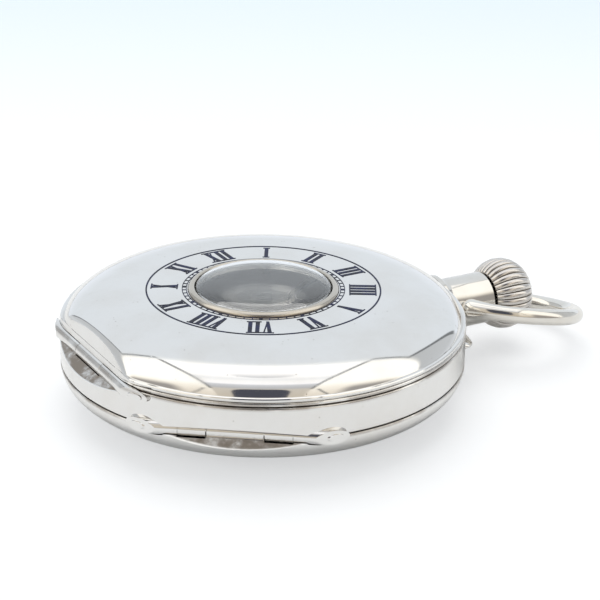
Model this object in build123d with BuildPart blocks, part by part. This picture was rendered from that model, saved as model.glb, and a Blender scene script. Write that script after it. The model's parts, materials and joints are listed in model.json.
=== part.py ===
"""Half hunter pocket watch with a keyless lever movement.

Origin on the surface that the watch lies on, under the middle of the case. +Z goes up
through the dial and the front lid, +X runs out through the pendant (three o'clock) and
+Y towards twelve o'clock. All lengths are millimetres.
"""
from build123d import *
import math
import os

os.makedirs("parts", exist_ok=True)

# Clearances and overrun
overrun = 2.0
running_gap = 0.03
seat_gap = 0.02
bezel_fit = 0.05
lid_gap = 0.1
knuckle_gap = 0.05
turning_room = 0.1

# Case band
case_radius = 25.0
band_bottom = 5.9
band_top = 9.9
movement_inset = 4.2
plate_radius = case_radius - movement_inset
plate_fit = 0.15
plate_bore = plate_radius + plate_fit
ledge_width = 0.8
ledge_bore = plate_radius - ledge_width
ledge_bottom = 7.0
ledge_top = 7.6
dust_inset = 3.6
dust_bore = case_radius - dust_inset
band_edge = 0.15
spring_recess_depth = 1.05
spring_recess_radius = plate_bore + spring_recess_depth
spring_recess_low = 8.2
spring_recess_high = 9.35
catch_spring_angles = (-38.0, 38.0)
lift_spring_angles = (116.0, 158.0)
spring_gap = 0.15
spring_end_gap = 2.0
catch_slot_radius = spring_recess_radius - spring_gap
catch_slot_angle = 3.0

# Hinges: the reach is the axis distance from the middle of the case
hinge_inset = 2.2
hinge_reach = case_radius - hinge_inset
tube_radius = 0.9
pin_radius = 0.42
tube_end_proud = 0.45
tube_end_radius = case_radius + tube_end_proud
pin_end_proud = 0.11
pin_end_radius = tube_end_radius + pin_end_proud
lid_axis_height = 9.35
back_axis_height = 5.9
lid_hinge_angle = 180.0
back_hinge_angle = -126.0
lid_knuckle_half = 3.35
back_knuckle_half = 3.3
dust_knuckle_end = 6.6
band_flat_slope = 0.6
back_flat_slope = 0.55
back_facet_slope = 0.7

# Front lid
lid_top = 14.3
lid_flat_radius = 14.7
lid_wall = 0.6
lid_shoulder_inset = 3.7
lid_shoulder_radius = case_radius - lid_shoulder_inset
lid_shoulder_height = 13.45
bead_top_inset = 0.5
bead_top_radius = case_radius - bead_top_inset
bead_top = 11.0
bead_groove_depth = 0.28
bead_groove_radius = case_radius - bead_groove_depth
bead_height = 0.52
rim_width = 3.1
lid_rim_bore = case_radius - rim_width
lid_rim_bore_top = 11.6
lid_edge_outset = 0.25
lid_edge_reach = hinge_reach + lid_edge_outset
lid_facet_foot = 10.45
lid_facet_slope = 4
lid_window_radius = 9.32

# Lid window
window_bezel_radius = 9.3
window_opening = 8.4
window_bezel_crest = 14.78
window_bezel_crest_radius = 8.8
window_flange_radius = 9.9
window_flange_low = 13.2
window_crystal_top = 15.55
window_crystal_base = 14.35
window_crystal_wall = 0.6

# Roman numerals: shares of their height
numeral_stem_share = 0.15
numeral_thin_share = 0.05
numeral_serif_share = 0.05
numeral_pitch_share = {"I": 0.26, "V": 0.46, "X": 0.46}
hour_step = 30
minutes = 60

# Enamel on the lid
enamel_height = 0.04
numeral_inner = 10.5
numeral_outer = 13.85
chapter_line_radius = 14.36
chapter_line_width = 0.2
track_outer = 10.02
track_inner = 9.42
track_line_width = 0.1
minute_tick_width = 0.12
hour_tick_width = 0.42

# Back cover
back_flat_radius = 8.0
back_bowl_inset = 0.1
back_bowl_radius = case_radius - back_bowl_inset
back_bowl_height = 5.2
back_rim_height = 5.25
back_wall = 0.6
back_inner_radius = case_radius - rim_width
bowl_rim_turn = 1.3
lip_angle = -16.5
lip_half_angle = 6.2
lip_length = 1.85
lip_reach = case_radius + lip_length
lip_thickness = 0.85
lip_root_inset = 0.5

# Inner dust cover
dust_radius = dust_bore - lid_gap
dust_rim_top = 6.2
dust_rim_low = 5.0
dust_floor = 2.3
dust_flat_radius = 16.8
dust_wall = 0.4
dust_arm_low = 5.05

# Pendant, crown and bow
stem_height = 7.0
pendant_radius = 3.4
pendant_length = 7.65
pendant_end = case_radius + pendant_length
pendant_foot_radius = 4.3
pendant_lip_radius = 4.15
pendant_lip_length = 0.75
pendant_fillet_middle = 1.1
pendant_fillet_radius = 3.62
pendant_fillet_length = 1.95
pendant_seat_gap = 0.12
pendant_seat_radius = case_radius + pendant_seat_gap
spigot_radius = 1.0
spigot_length = 2.0
spigot_start = case_radius - spigot_length
sleeve_bore = 2.0
sleeve_length = 4.45
sleeve_start = pendant_end - sleeve_length
sleeve_wall = 0.36
crown_tube_radius = 1.55
crown_tube_gap = 0.5
crown_tube_start = sleeve_start + crown_tube_gap
crown_gap = 0.35
crown_start = pendant_end + crown_gap
crown_neck_radius = 3.4
crown_radius = 4.68
crown_shoulder_length = 2.8
crown_widest = crown_start + crown_shoulder_length
crown_length = 5.9
crown_end = crown_start + crown_length
crown_tip_radius = 2.8
crown_rib_radius = 0.25
crown_rib_offset = 0.03
crown_rib_overrun = 8.0
crown_ribs = 32
stem_radius = 0.55
stem_square_radius = 0.45
stem_step = 18.2
stem_start = 14.4
stem_cap = 2.9
stem_end = crown_end - stem_cap
bow_pivot_length = 2.9
bow_pivot = case_radius + bow_pivot_length
bow_pin_radius = 0.7
bow_pin_depth = 1.0
bow_pin_start = pendant_radius - bow_pin_depth
bow_wire_radius = 1.05
bow_boss_radius = 1.32
bow_boss_gap = 0.08
bow_seat = pendant_radius + bow_boss_gap + bow_boss_radius
bow_length = 18.1
bow_half_width = 9.3
bow_drop_angle = 12.4
bow_lean_angle = -10.8

# Movement plates: heights grow from the back of the watch to the dial
plate_low = 7.6
plate_high = 8.6
plate_rim_width = 1.4
plate_rim_inner = plate_radius - plate_rim_width
dial_seat = 9.45
bridge_inset = 1.8
bridge_radius = plate_radius - bridge_inset
bridge_low = 3.3
bridge_high = 4.2
bridge_split = 0.2
split_offset = -2.0
split_slope = -0.342
pillar_radius = 1.2
pillar_inset = 3.1
pillar_ring = plate_radius - pillar_inset
barrel_pillar_angles = (18.0, 75.0, 130.0)
train_pillar_angles = (-30.0, -75.0, -110.0)
case_screw_angles = (100.0, -52.0)
case_screw_inset = 1.6
case_screw_ring = plate_radius - case_screw_inset
jewel_radius = 0.6
jewel_height = 0.3
pivot_radius = 0.15
pivot_length = 0.28
end_shake = 0.05
case_head_radius = 1.2
case_head_height = 0.5
screw_head_radius = 0.9
screw_head_height = 0.35
screw_shank_radius = 0.45
screw_slot = 0.22
screw_depth = 1.7

# Train: teeth and modules
tooth_tip_share = 0.8
tooth_root_share = 1.0
tooth_tip_width_share = 0.10
tooth_root_width_share = 0.21
barrel_teeth, centre_leaves, barrel_module = 72, 12, 0.21
centre_teeth, third_leaves, centre_module = 64, 8, 0.19
third_teeth, fourth_leaves, third_module = 60, 8, 0.17
fourth_teeth, escape_leaves, fourth_module = 64, 8, 0.13
crown_wheel_teeth, ratchet_teeth, pinion_teeth, winding_module = 30, 36, 14, 0.25
cannon_teeth, minute_teeth, cannon_module = 12, 36, 0.20
minute_leaves, hour_teeth = 10, 40
escape_teeth = 15
arbor_radius = 0.3
train_arms = 5
train_arm_width = 0.8
fourth_arm_width = 0.5
centre_window_outer, centre_window_inner = 5.2, 1.9
third_window_outer = 4.2
fourth_window_outer, fourth_window_inner = 3.4, 1.1
hour_hand_angle, minute_hand_angle = 145.0, 30.0
hand_blade_share = 0.78
seconds_boss_radius = 0.45
seconds_reach = 9.4
crown_wheel_reach = 11.8

# Train: heights
centre_wheel_low, centre_wheel_high = 7.15, 7.4
third_wheel_low, third_wheel_high = 5.2, 5.45
fourth_wheel_low, fourth_wheel_high = 6.1, 6.35
escape_wheel_low, escape_wheel_high = 7.05, 7.3
barrel_low, barrel_high = 5.55, 7.05
barrel_tooth_height = 0.4
ratchet_low, ratchet_high = 4.3, 4.75
pinion_clear = 0.1
barrel_drum_radius = 7.2
barrel_wall = 0.6
barrel_floor = 0.3
barrel_cover_height = 0.25
barrel_cover_radius = 6.8
arbor_core_radius = 1.4
arbor_pivot_radius = 0.8
arbor_collar_radius = 1.1
arbor_collar_high = 5.5
mainspring_pitch = 0.4
mainspring_width = 0.16
mainspring_half_turns = 24
crown_core_radius = 1.2
crown_screw_radius = 1.6
contrate_inner = 3.4
contrate_outer = 3.95
contrate_base = 4.95
contrate_high = 5.42
contrate_gap = 0.5
pinion_start, pinion_end = 15.1, 17.6
pinion_slot_half = 2.05
click_reach, click_bearing = 6.6, 150.0
click_head_radius = 0.8
click_post_radius = 0.4
click_beak_half = 0.45
click_tail_length, click_tail_half = 2.0, 0.3
spring_wire = 0.14
click_stud_radius = 0.4
click_stud_angle, click_spring_angle = 100.0, 150.0
escape_tip_radius = 3.2
escape_root_radius = 2.6
escape_rim_inner = 2.2
escape_tooth_back, escape_tooth_front, escape_tip_half = -9.0, 3.0, 0.7
escape_phase = 12.0
pallet_reach = 3.7
lever_reach = 3.5
balance_reach = 11.2
balance_bearing = 164.5

# Balance and lever
balance_radius = 5.9
balance_rim_width = 0.6
balance_low, balance_high = 5.65, 6.25
balance_arm_low, balance_arm_high = 5.85, 6.05
roller_radius = 1.15
roller_low, roller_high = 6.83, 7.0
balance_hub_radius = 0.7
balance_arm_half = 0.35
balance_screws = 14
balance_screw_radius = 0.24
balance_screw_length = 0.35
impulse_pin_reach = 1.0
impulse_pin_radius = 0.1
fork_low, fork_high = 7.1, 7.3
fork_tip_reach = 2.55
fork_lever_half = 0.22
fork_notch_half = 0.14
fork_notch_depth = 0.35
fork_head_half = 0.38
anchor_inner, anchor_outer = 3.35, 3.9
anchor_half_angle = 33.0
stone_angle, stone_half = 30.0, 0.11
stone_inner, stone_outer = 3.24, 3.75
stone_low, stone_high = 7.06, 7.34
pallet_cock_low, pallet_cock_high = 6.5, 6.8
hairspring_low, hairspring_high = 4.6, 4.8
hairspring_start = 0.75
hairspring_pitch = 0.3
hairspring_width = 0.1
hairspring_half_turns = 15
cock_foot_reach = 8.6
cock_foot_angle = 115.0
cock_foot_radius = 2.0
cock_head_radius = 2.5
cock_arm_half = 1.6
cock_gap = 0.15
balance_opening = 5.8
regulator_low, regulator_high = 3.0, 3.25
regulator_inner, regulator_outer = 1.3, 2.0
regulator_tail = 4.6
regulator_tail_half = 0.25
stud_radius = 0.3
pallet_cock_half = 0.85
pallet_foot_reach = 3.0
pallet_foot_radius = 0.9
pallet_screw_radius = 0.6
pallet_screw_height = 0.22

# Dial side
dial_inset = 0.5
dial_radius = plate_radius - dial_inset
dial_top = 9.9
minute_works_angle = 100.0
cannon_low, cannon_high = 8.68, 8.98
minute_wheel_low, minute_wheel_high = 8.72, 8.92
hour_wheel_low, hour_wheel_high = 9.05, 9.25
centre_arbor_radius = 0.35
cannon_pipe_radius = 0.65
hour_pipe_radius = 1.05
hour_hand_low = 10.2
minute_hand_low = 10.75
hand_thickness = 0.15
seconds_hand_low = 9.98
seconds_hand_thickness = 0.1
bezel_inner_inset, bezel_outer_proud = 1.3, 0.4
bezel_inner = plate_radius - bezel_inner_inset
bezel_outer = plate_radius + bezel_outer_proud
bezel_top = 11.7
crystal_inset = 0.7
crystal_radius = plate_radius - crystal_inset
crystal_edge_low = 10.9
crystal_crown = 12.3
crystal_wall = 0.6
seconds_dial_radius = 4.2
seconds_dial_depth = 0.15
seconds_arbor_radius = 0.2
centre_arbor_top = 11.05
cannon_pipe_top = 10.98
hour_pipe_top = 10.35
minute_post_radius = 0.4
minute_post_high = 9.35
minute_pinion_high = 9.32
print_height = 0.03
dial_numeral_inner, dial_numeral_outer = 14.0, 17.6
dial_track_inner, dial_track_outer = 18.3, 19.2
seconds_track_inner, seconds_track_outer = 3.1, 3.9
dial_line_width = 0.12
dial_tick, dial_long_tick = 0.14, 0.5
hour_hand_length, minute_hand_length, seconds_hand_length = 11.6, 17.6, 3.7
hand_root_half, hand_blade_half, hand_tip_half = 0.35, 0.95, 0.12
hand_waist_share = 0.6
minute_root_half, minute_blade_half = 0.28, 0.66
hand_boss_radius = 1.7
seconds_tail_length = 1.4
bezel_spigot_wall = 0.45
bezel_spigot_outer = plate_bore - bezel_fit
bezel_spigot_inner = bezel_spigot_outer - bezel_spigot_wall
bezel_spigot_low = 9.5
catch_spring_gap, catch_spring_width, lift_spring_width = 0.15, 0.6, 0.5
catch_spring_inner = plate_bore + catch_spring_gap
catch_spring_outer = catch_spring_inner + catch_spring_width
lift_spring_outer = catch_spring_inner + lift_spring_width
spring_low, spring_high = 8.3, 9.25
catch_nose_inset, catch_nose_width = 0.2, 0.45
catch_nose_inner = catch_spring_inner + catch_nose_inset
catch_nose_outer = catch_nose_inner + catch_nose_width
catch_nose_high = 10.55
catch_nose_angle = 2.2


def polar(distance, degrees, centre=(0, 0)):
    """the point at a distance and an angle from a centre"""
    turn = math.radians(degrees)
    return (centre[0] + distance * math.cos(turn), centre[1] + distance * math.sin(turn))


def bearing(start, end):
    """the angle in degrees of the line from one point to another"""
    return math.degrees(math.atan2(end[1] - start[1], end[0] - start[0]))


def crossing(first, first_radius, second, second_radius, side):
    """where two circles cross, on the left (side 1) or right (side -1) of the line between"""
    span = math.dist(first, second)
    along = (first_radius**2 - second_radius**2 + span**2) / (2 * span)
    across = math.sqrt(first_radius**2 - along**2)
    foot = polar(along, bearing(first, second), first)
    return polar(side * across, bearing(first, second) + 90, foot)


def circle_centre(first, second, third):
    """the centre of the circle through three points"""
    squares = [math.hypot(*place)**2 for place in (first, second, third)]
    pairs = ((first, second, third), (second, third, first), (third, first, second))
    across = sum(square * (after[1] - last[1]) for square, (_, after, last) in zip(squares, pairs))
    up = sum(square * (last[0] - after[0]) for square, (_, after, last) in zip(squares, pairs))
    doubled = 2 * sum(place[0] * (after[1] - last[1]) for place, after, last in pairs)
    return (across / doubled, up / doubled)


def gear_points(teeth, module):
    """outline of a spur gear with straight sided teeth, a tooth pointing along +X"""
    pitch_radius = teeth * module / 2
    root = pitch_radius - tooth_root_share * module
    tip = pitch_radius + tooth_tip_share * module
    corners = (
        (root, -tooth_root_width_share),
        (tip, -tooth_tip_width_share),
        (tip, tooth_tip_width_share),
        (root, tooth_root_width_share),
    )
    step = 360 / teeth
    return [polar(radius, (i + offset) * step) for i in range(teeth) for radius, offset in corners]


def disc(radius, low, high, at=(0, 0), mode=Mode.ADD):
    """a round slab between two heights"""
    with BuildSketch(Plane.XY.offset(low), mode=Mode.PRIVATE) as face:
        with Locations(at):
            Circle(radius)
    extrude(face.sketch, amount=high - low, mode=mode)


def ring(outer, inner, low, high, at=(0, 0), mode=Mode.ADD):
    """a flat ring between two heights"""
    with BuildSketch(Plane.XY.offset(low), mode=Mode.PRIVATE) as face:
        with Locations(at):
            Circle(outer)
            Circle(inner, mode=Mode.SUBTRACT)
    extrude(face.sketch, amount=high - low, mode=mode)


def slab(points, low, high, mode=Mode.ADD):
    """a flat plate with a straight sided outline between two heights"""
    with BuildSketch(Plane.XY.offset(low), mode=Mode.PRIVATE) as face:
        with BuildLine():
            Polyline(*points, close=True)
        make_face()
    extrude(face.sketch, amount=high - low, mode=mode)


def bar(start, end, half_width, low, high, mode=Mode.ADD):
    """a bar with rounded ends between two points"""
    span = math.dist(start, end)
    middle = ((start[0] + end[0]) / 2, (start[1] + end[1]) / 2)
    with BuildSketch(Plane.XY.offset(low), mode=Mode.PRIVATE) as face:
        with Locations(Location((*middle, 0), (0, 0, bearing(start, end)))):
            SlotCenterToCenter(span, 2 * half_width)
    extrude(face.sketch, amount=high - low, mode=mode)


def spur(teeth, module, low, high, at, partner, gap=False):
    """a toothed disc: a tooth, or with gap a space, faces its partner's centre"""
    turn = bearing(at, partner) + (180 / teeth if gap else 0)
    with BuildSketch(Plane.XY.offset(low), mode=Mode.PRIVATE) as face:
        with Locations(Location((*at, 0), (0, 0, turn))):
            Polygon(*gear_points(teeth, module), align=None)
    extrude(face.sketch, amount=high - low)


def windows(outer, inner, arms, arm_width, low, high, at):
    """the openings between the arms of a wheel"""
    with BuildSketch(Plane.XY.offset(low), mode=Mode.PRIVATE) as face:
        with Locations(at):
            Circle(outer)
            Circle(inner, mode=Mode.SUBTRACT)
            with PolarLocations(0, arms):
                Rectangle(outer + overrun, arm_width, align=(Align.MIN, Align.CENTER), mode=Mode.SUBTRACT)
    extrude(face.sketch, amount=high - low, mode=Mode.SUBTRACT)


def hinge_frame(angle):
    """rotation that takes a tool made along +X (outwards) to a hinge's side of the case"""
    return Location((0, 0, 0), (0, 0, angle))


def hinge_rod(height, radius, start, end, angle):
    """a round rod on a hinge axis, between two places along it"""
    with BuildPart() as rod:
        with BuildSketch(Plane(origin=(hinge_reach, start, height), x_dir=(1, 0, 0), z_dir=(0, 1, 0))):
            Circle(radius)
        extrude(amount=end - start)
    return hinge_frame(angle) * rod.part


def hinge_prism(points, start, end, angle):
    """a prism along a hinge axis from an outline in (outwards, up)"""
    with BuildPart() as prism:
        with BuildSketch(Plane(origin=(0, end, 0), x_dir=(1, 0, 0), z_dir=(0, -1, 0))):
            with BuildLine():
                Polyline(*points, close=True)
            make_face()
        extrude(amount=end - start)
    return hinge_frame(angle) * prism.part


def case_cylinder(radius):
    """a cylinder on the case axis, taller than the watch"""
    with BuildPart() as core:
        with BuildSketch(Plane.XY.offset(-overrun)):
            Circle(radius)
        extrude(amount=window_crystal_top + 2 * overrun)
    return core.part


def spiral_ribbon(start, pitch, width, half_turns, low, high, at, last_angle):
    """a flat spiral made of half circles whose centres alternate, its outer end at an angle"""
    with BuildSketch(mode=Mode.PRIVATE) as face:
        with BuildLine():
            for side, order in ((width / 2, 1), (-width / 2, -1)):
                for k in range(half_turns)[::order]:
                    sign = 1 if k % 2 == 0 else -1
                    near = sign * (start + k * pitch / 2 + side)
                    far = -sign * (start + (k + 1) * pitch / 2 + side)
                    crest = sign * abs(near - far) / 2
                    ends = ((near, 0), ((near + far) / 2, crest), (far, 0))
                    ThreePointArc(*ends[::order])
            Line((start - width / 2, 0), (start + width / 2, 0))
            last_sign = 1 if half_turns % 2 == 0 else -1
            last = start + half_turns * pitch / 2
            Line((last_sign * (last - width / 2), 0), (last_sign * (last + width / 2), 0))
        make_face()
    turn = last_angle if half_turns % 2 == 0 else last_angle + 180
    extrude(Location((*at, low), (0, 0, turn)) * face.sketch, amount=high - low)


def arc_bar(outer, inner, first, last, low, high, at=(0, 0), mode=Mode.ADD):
    """a piece of a flat ring between two angles and two heights"""
    with BuildSketch(Plane.XY.offset(low), mode=Mode.PRIVATE) as face:
        with BuildLine():
            for radius in (outer, inner):
                CenterArc(at, radius, first, last - first)
            for angle in (first, last):
                Line(polar(inner, angle, at), polar(outer, angle, at))
        make_face()
    extrude(face.sketch, amount=high - low, mode=mode)


def dome(radius, edge_low, crown, wall):
    """a watch glass: a thin domed disc with an upright edge"""
    rise = crown - wall - edge_low
    curve = (radius**2 + rise**2) / (2 * rise)
    half_way = radius / 2
    drop = curve - math.sqrt(curve**2 - half_way**2)
    with BuildSketch(Plane.XZ, mode=Mode.PRIVATE) as face:
        with BuildLine():
            ThreePointArc((0, crown), (half_way, crown - drop), (radius, edge_low + wall))
            Line((radius, edge_low + wall), (radius, edge_low))
            ThreePointArc((radius, edge_low), (half_way, crown - wall - drop), (0, crown - wall))
            Line((0, crown - wall), (0, crown))
        make_face()
    revolve(face.sketch, axis=Axis.Z)


def numeral_strokes(text):
    """outlines of a Roman numeral of height 1, feet at 0, centred across"""
    total = sum(numeral_pitch_share[letter] for letter in text)
    left = -total / 2
    strokes = []
    for letter in text:
        wide = numeral_pitch_share[letter]
        right = left + wide
        mid = (left + right) / 2
        stem = numeral_stem_share / 2
        thin = numeral_thin_share / 2
        edge = numeral_serif_share
        if letter == "I":
            strokes.append([(mid - stem, 0), (mid + stem, 0), (mid + stem, 1), (mid - stem, 1)])
        if letter == "V":
            strokes.append([(mid - stem / 2, 0), (mid + stem, 0), (left + 3 * stem, 1), (left + stem, 1)])
            strokes.append([(mid, 0), (mid + 2 * thin, 0), (right - stem, 1), (right - stem - 2 * thin, 1)])
        if letter == "X":
            strokes.append([(right - 3 * stem, 0), (right - stem, 0), (left + 3 * stem, 1), (left + stem, 1)])
            strokes.append([(left + stem, 0), (left + stem + 2 * thin, 0),
                            (right - stem, 1), (right - stem - 2 * thin, 1)])
        strokes.append([(left, 1 - edge), (right, 1 - edge), (right, 1), (left, 1)])
        if letter != "V":
            strokes.append([(left, 0), (right, 0), (right, edge), (left, edge)])
        left = right
    return strokes


def numeral_ring(inner, outer, low, high, skip=()):
    """twelve radial Roman numerals, feet towards the centre, twelve at +Y"""
    names = ("XII", "I", "II", "III", "IIII", "V", "VI", "VII", "VIII", "IX", "X", "XI")
    height = outer - inner
    for hour, name in enumerate(names):
        if hour in skip:
            continue
        with BuildSketch(Plane.XY.offset(low), mode=Mode.PRIVATE) as face:
            with Locations(Location((0, 0, 0), (0, 0, -hour_step * hour))):
                for outline in numeral_strokes(name):
                    Polygon(*[(x * height, inner + y * height) for x, y in outline], align=None)
        extrude(face.sketch, amount=high - low)


def minute_track(outer, inner, line, ticks, tick, long_tick, low, high, at=(0, 0)):
    """two circles joined by a tick for each minute, wider at each fifth one"""
    with BuildSketch(Plane.XY.offset(low), mode=Mode.PRIVATE) as face:
        with Locations(at):
            Circle(outer)
            Circle(inner, mode=Mode.SUBTRACT)
            Circle(outer - line, mode=Mode.SUBTRACT)
            Circle(inner + line)
            Circle(inner, mode=Mode.SUBTRACT)
            for k in range(ticks):
                width = long_tick if k % 5 == 0 else tick
                middle = (outer + inner) / 2
                place = polar(middle, 90 - 360 * k / ticks)
                with Locations(Location((*place, 0), (0, 0, 90 - 360 * k / ticks))):
                    Rectangle(outer - inner - line, width)
    extrude(face.sketch, amount=high - low)


def keep(builder, name):
    """label a finished piece and write its file"""
    builder.part.label = name
    export_step(builder.part, f"parts/{name}.step")


# Places of the train, in plan
origin = (0, 0)
barrel_reach = (barrel_teeth + centre_leaves) * barrel_module / 2
crown_wheel_place = (crown_wheel_reach, 0)
ratchet_span = (crown_wheel_teeth + ratchet_teeth) * winding_module / 2
barrel_place = crossing(origin, barrel_reach, crown_wheel_place, ratchet_span, 1)
fourth_place = (0, -seconds_reach)
third_place = crossing(origin, (centre_teeth + third_leaves) * centre_module / 2,
                       fourth_place, (third_teeth + fourth_leaves) * third_module / 2, 1)
fourth_span = (fourth_teeth + escape_leaves) * fourth_module / 2
balance_place = polar(balance_reach, balance_bearing, fourth_place)
escape_place = crossing(fourth_place, fourth_span, balance_place, pallet_reach + lever_reach, 1)
pallet_place = polar(pallet_reach, bearing(escape_place, balance_place), escape_place)
lever_angle = bearing(pallet_place, balance_place)
cock_foot = polar(cock_foot_reach, cock_foot_angle, balance_place)
minute_wheel_place = polar((cannon_teeth + minute_teeth) * cannon_module / 2, minute_works_angle)
hour_module = 2 * math.dist(origin, minute_wheel_place) / (minute_leaves + hour_teeth)

# Case band with its fixed hinge tubes
band_flat = [
    (hinge_reach, lid_axis_height),
    (case_radius + overrun, lid_axis_height - band_flat_slope * (case_radius + overrun - hinge_reach)),
    (case_radius + overrun, band_top + overrun),
    (hinge_reach, band_top + overrun),
]
back_flat = [
    (hinge_reach, back_axis_height),
    (case_radius + overrun, back_axis_height + back_flat_slope * (case_radius + overrun - hinge_reach)),
    (case_radius + overrun, band_bottom - overrun),
    (hinge_reach, band_bottom - overrun),
]
hinge_half = math.sqrt(tube_end_radius**2 - (hinge_reach - tube_radius)**2) + overrun
lid_tube_start = lid_knuckle_half + knuckle_gap
back_tube_start = dust_knuckle_end + knuckle_gap
groove_radius = tube_radius + turning_room

band_cuts = [
    hinge_prism(band_flat, -hinge_half, hinge_half, lid_hinge_angle),
    hinge_prism(back_flat, -hinge_half, hinge_half, back_hinge_angle),
]
band_tubes = []
for height, tube_start, angle in (
    (lid_axis_height, lid_tube_start, lid_hinge_angle),
    (back_axis_height, back_tube_start, back_hinge_angle),
):
    band_tubes.append(hinge_rod(height, tube_radius, tube_start, hinge_half, angle))
    band_tubes.append(hinge_rod(height, tube_radius, -hinge_half, -tube_start, angle))
    band_cuts.append(hinge_rod(height, groove_radius, -tube_start, tube_start, angle))
tube_trim = case_cylinder(tube_end_radius)

with BuildPart() as band_blank:
    with BuildSketch(Plane.XZ):
        with BuildLine():
            Polyline(
                (dust_bore, band_bottom),
                (case_radius - band_edge, band_bottom),
                (case_radius, band_bottom + band_edge),
                (case_radius, band_top - band_edge),
                (case_radius - band_edge, band_top),
                (plate_bore, band_top),
                (plate_bore, ledge_top),
                (ledge_bore, ledge_top),
                (ledge_bore, ledge_bottom),
                (dust_bore, ledge_bottom),
                close=True,
            )
        make_face()
    revolve(axis=Axis.Z)
    for first, last in (catch_spring_angles, lift_spring_angles):
        arc_bar(spring_recess_radius, plate_bore - spring_gap, first - spring_end_gap, last + spring_end_gap,
                spring_recess_low, spring_recess_high, mode=Mode.SUBTRACT)
    arc_bar(catch_slot_radius, plate_bore - spring_gap, -catch_slot_angle, catch_slot_angle,
            spring_recess_low, band_top + overrun, mode=Mode.SUBTRACT)

with BuildPart() as case_band:
    add(band_blank.part)
    for cut in band_cuts:
        add(cut, mode=Mode.SUBTRACT)
    for tube in band_tubes:
        add(tube & tube_trim)
    for height, angle in ((lid_axis_height, lid_hinge_angle), (back_axis_height, back_hinge_angle)):
        add(hinge_rod(height, pin_radius + running_gap, -hinge_half, hinge_half, angle), mode=Mode.SUBTRACT)
    with BuildSketch(Plane.YZ.offset(ledge_bore - overrun)):
        with Locations((0, stem_height)):
            Circle(spigot_radius + seat_gap)
    extrude(amount=case_radius - ledge_bore + 2 * overrun, mode=Mode.SUBTRACT)
keep(case_band, "case_band")

for name, height, angle in (
    ("lid_hinge_pin", lid_axis_height, lid_hinge_angle),
    ("back_hinge_pin", back_axis_height, back_hinge_angle),
):
    pin_blank = hinge_rod(height, pin_radius, -hinge_half, hinge_half, angle)
    with BuildPart() as hinge_pin:
        add(pin_blank & case_cylinder(pin_end_radius))
    keep(hinge_pin, name)

# Front lid
lid_bottom = band_top + lid_gap
lid_inner_top = lid_top - lid_wall
lid_facet_rise = lid_top + overrun - lid_facet_foot
lid_facet = [
    (case_radius + overrun, lid_bottom - overrun),
    (case_radius + overrun, lid_top + overrun),
    (lid_edge_reach - lid_facet_rise / lid_facet_slope, lid_top + overrun),
    (lid_edge_reach, lid_facet_foot),
    (lid_edge_reach, lid_bottom - overrun),
]
bead_bulge = case_radius
lid_facet_cut = hinge_prism(lid_facet, -hinge_half, hinge_half, lid_hinge_angle)
lid_grooves = [
    hinge_rod(lid_axis_height, groove_radius, lid_tube_start - 2 * knuckle_gap, hinge_half, lid_hinge_angle),
    hinge_rod(lid_axis_height, groove_radius, -hinge_half, 2 * knuckle_gap - lid_tube_start, lid_hinge_angle),
]
lid_knuckle = hinge_rod(lid_axis_height, tube_radius, -lid_knuckle_half, lid_knuckle_half, lid_hinge_angle)
lid_pin_hole = hinge_rod(lid_axis_height, pin_radius + running_gap, -hinge_half, hinge_half, lid_hinge_angle)
with BuildPart() as front_lid:
    with BuildSketch(Plane.XZ):
        with BuildLine():
            Line((lid_window_radius, lid_top), (lid_flat_radius, lid_top))
            Spline(
                (lid_flat_radius, lid_top),
                (lid_shoulder_radius, lid_shoulder_height),
                (bead_top_radius, bead_top),
                tangents=((1, 0), (1, -2.2)),
            )
            ThreePointArc(
                (bead_top_radius, bead_top),
                (bead_bulge, bead_top - bead_height / 2),
                (bead_groove_radius, bead_top - bead_height),
            )
            ThreePointArc(
                (bead_groove_radius, bead_top - bead_height),
                (bead_bulge, (bead_top - bead_height + lid_bottom) / 2),
                (bead_groove_radius, lid_bottom),
            )
            Line((bead_groove_radius, lid_bottom), (lid_rim_bore, lid_bottom))
            Line((lid_rim_bore, lid_bottom), (lid_rim_bore, lid_rim_bore_top))
            Spline(
                (lid_rim_bore, lid_rim_bore_top),
                (lid_shoulder_radius - lid_wall, lid_shoulder_height - lid_wall),
                (lid_flat_radius - lid_wall, lid_inner_top),
                tangents=((-1, 1), (-1, 0)),
            )
            Line((lid_flat_radius - lid_wall, lid_inner_top), (lid_window_radius, lid_inner_top))
            Line((lid_window_radius, lid_inner_top), (lid_window_radius, lid_top))
        make_face()
    revolve(axis=Axis.Z)
    for groove in lid_grooves:
        add(groove, mode=Mode.SUBTRACT)
    add(lid_facet_cut, mode=Mode.SUBTRACT)
    add(lid_knuckle)
    add(lid_pin_hole, mode=Mode.SUBTRACT)
keep(front_lid, "front_lid")

with BuildPart() as lid_window_bezel:
    with BuildSketch(Plane.XZ):
        with BuildLine():
            Polyline(
                (window_opening, window_flange_low),
                (window_flange_radius, window_flange_low),
                (window_flange_radius, lid_inner_top),
                (window_bezel_radius, lid_inner_top),
                (window_bezel_radius, lid_top),
                (window_bezel_crest_radius, window_bezel_crest),
                (window_opening, window_crystal_base),
                close=True,
            )
        make_face()
    revolve(axis=Axis.Z)
keep(lid_window_bezel, "lid_window_bezel")

with BuildPart() as lid_crystal:
    dome(window_opening - seat_gap, window_crystal_base - window_crystal_wall, window_crystal_top,
         window_crystal_wall)
keep(lid_crystal, "lid_crystal")

with BuildPart() as lid_numerals:
    numeral_ring(numeral_inner, numeral_outer, lid_top, lid_top + enamel_height)
keep(lid_numerals, "lid_numerals")

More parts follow.
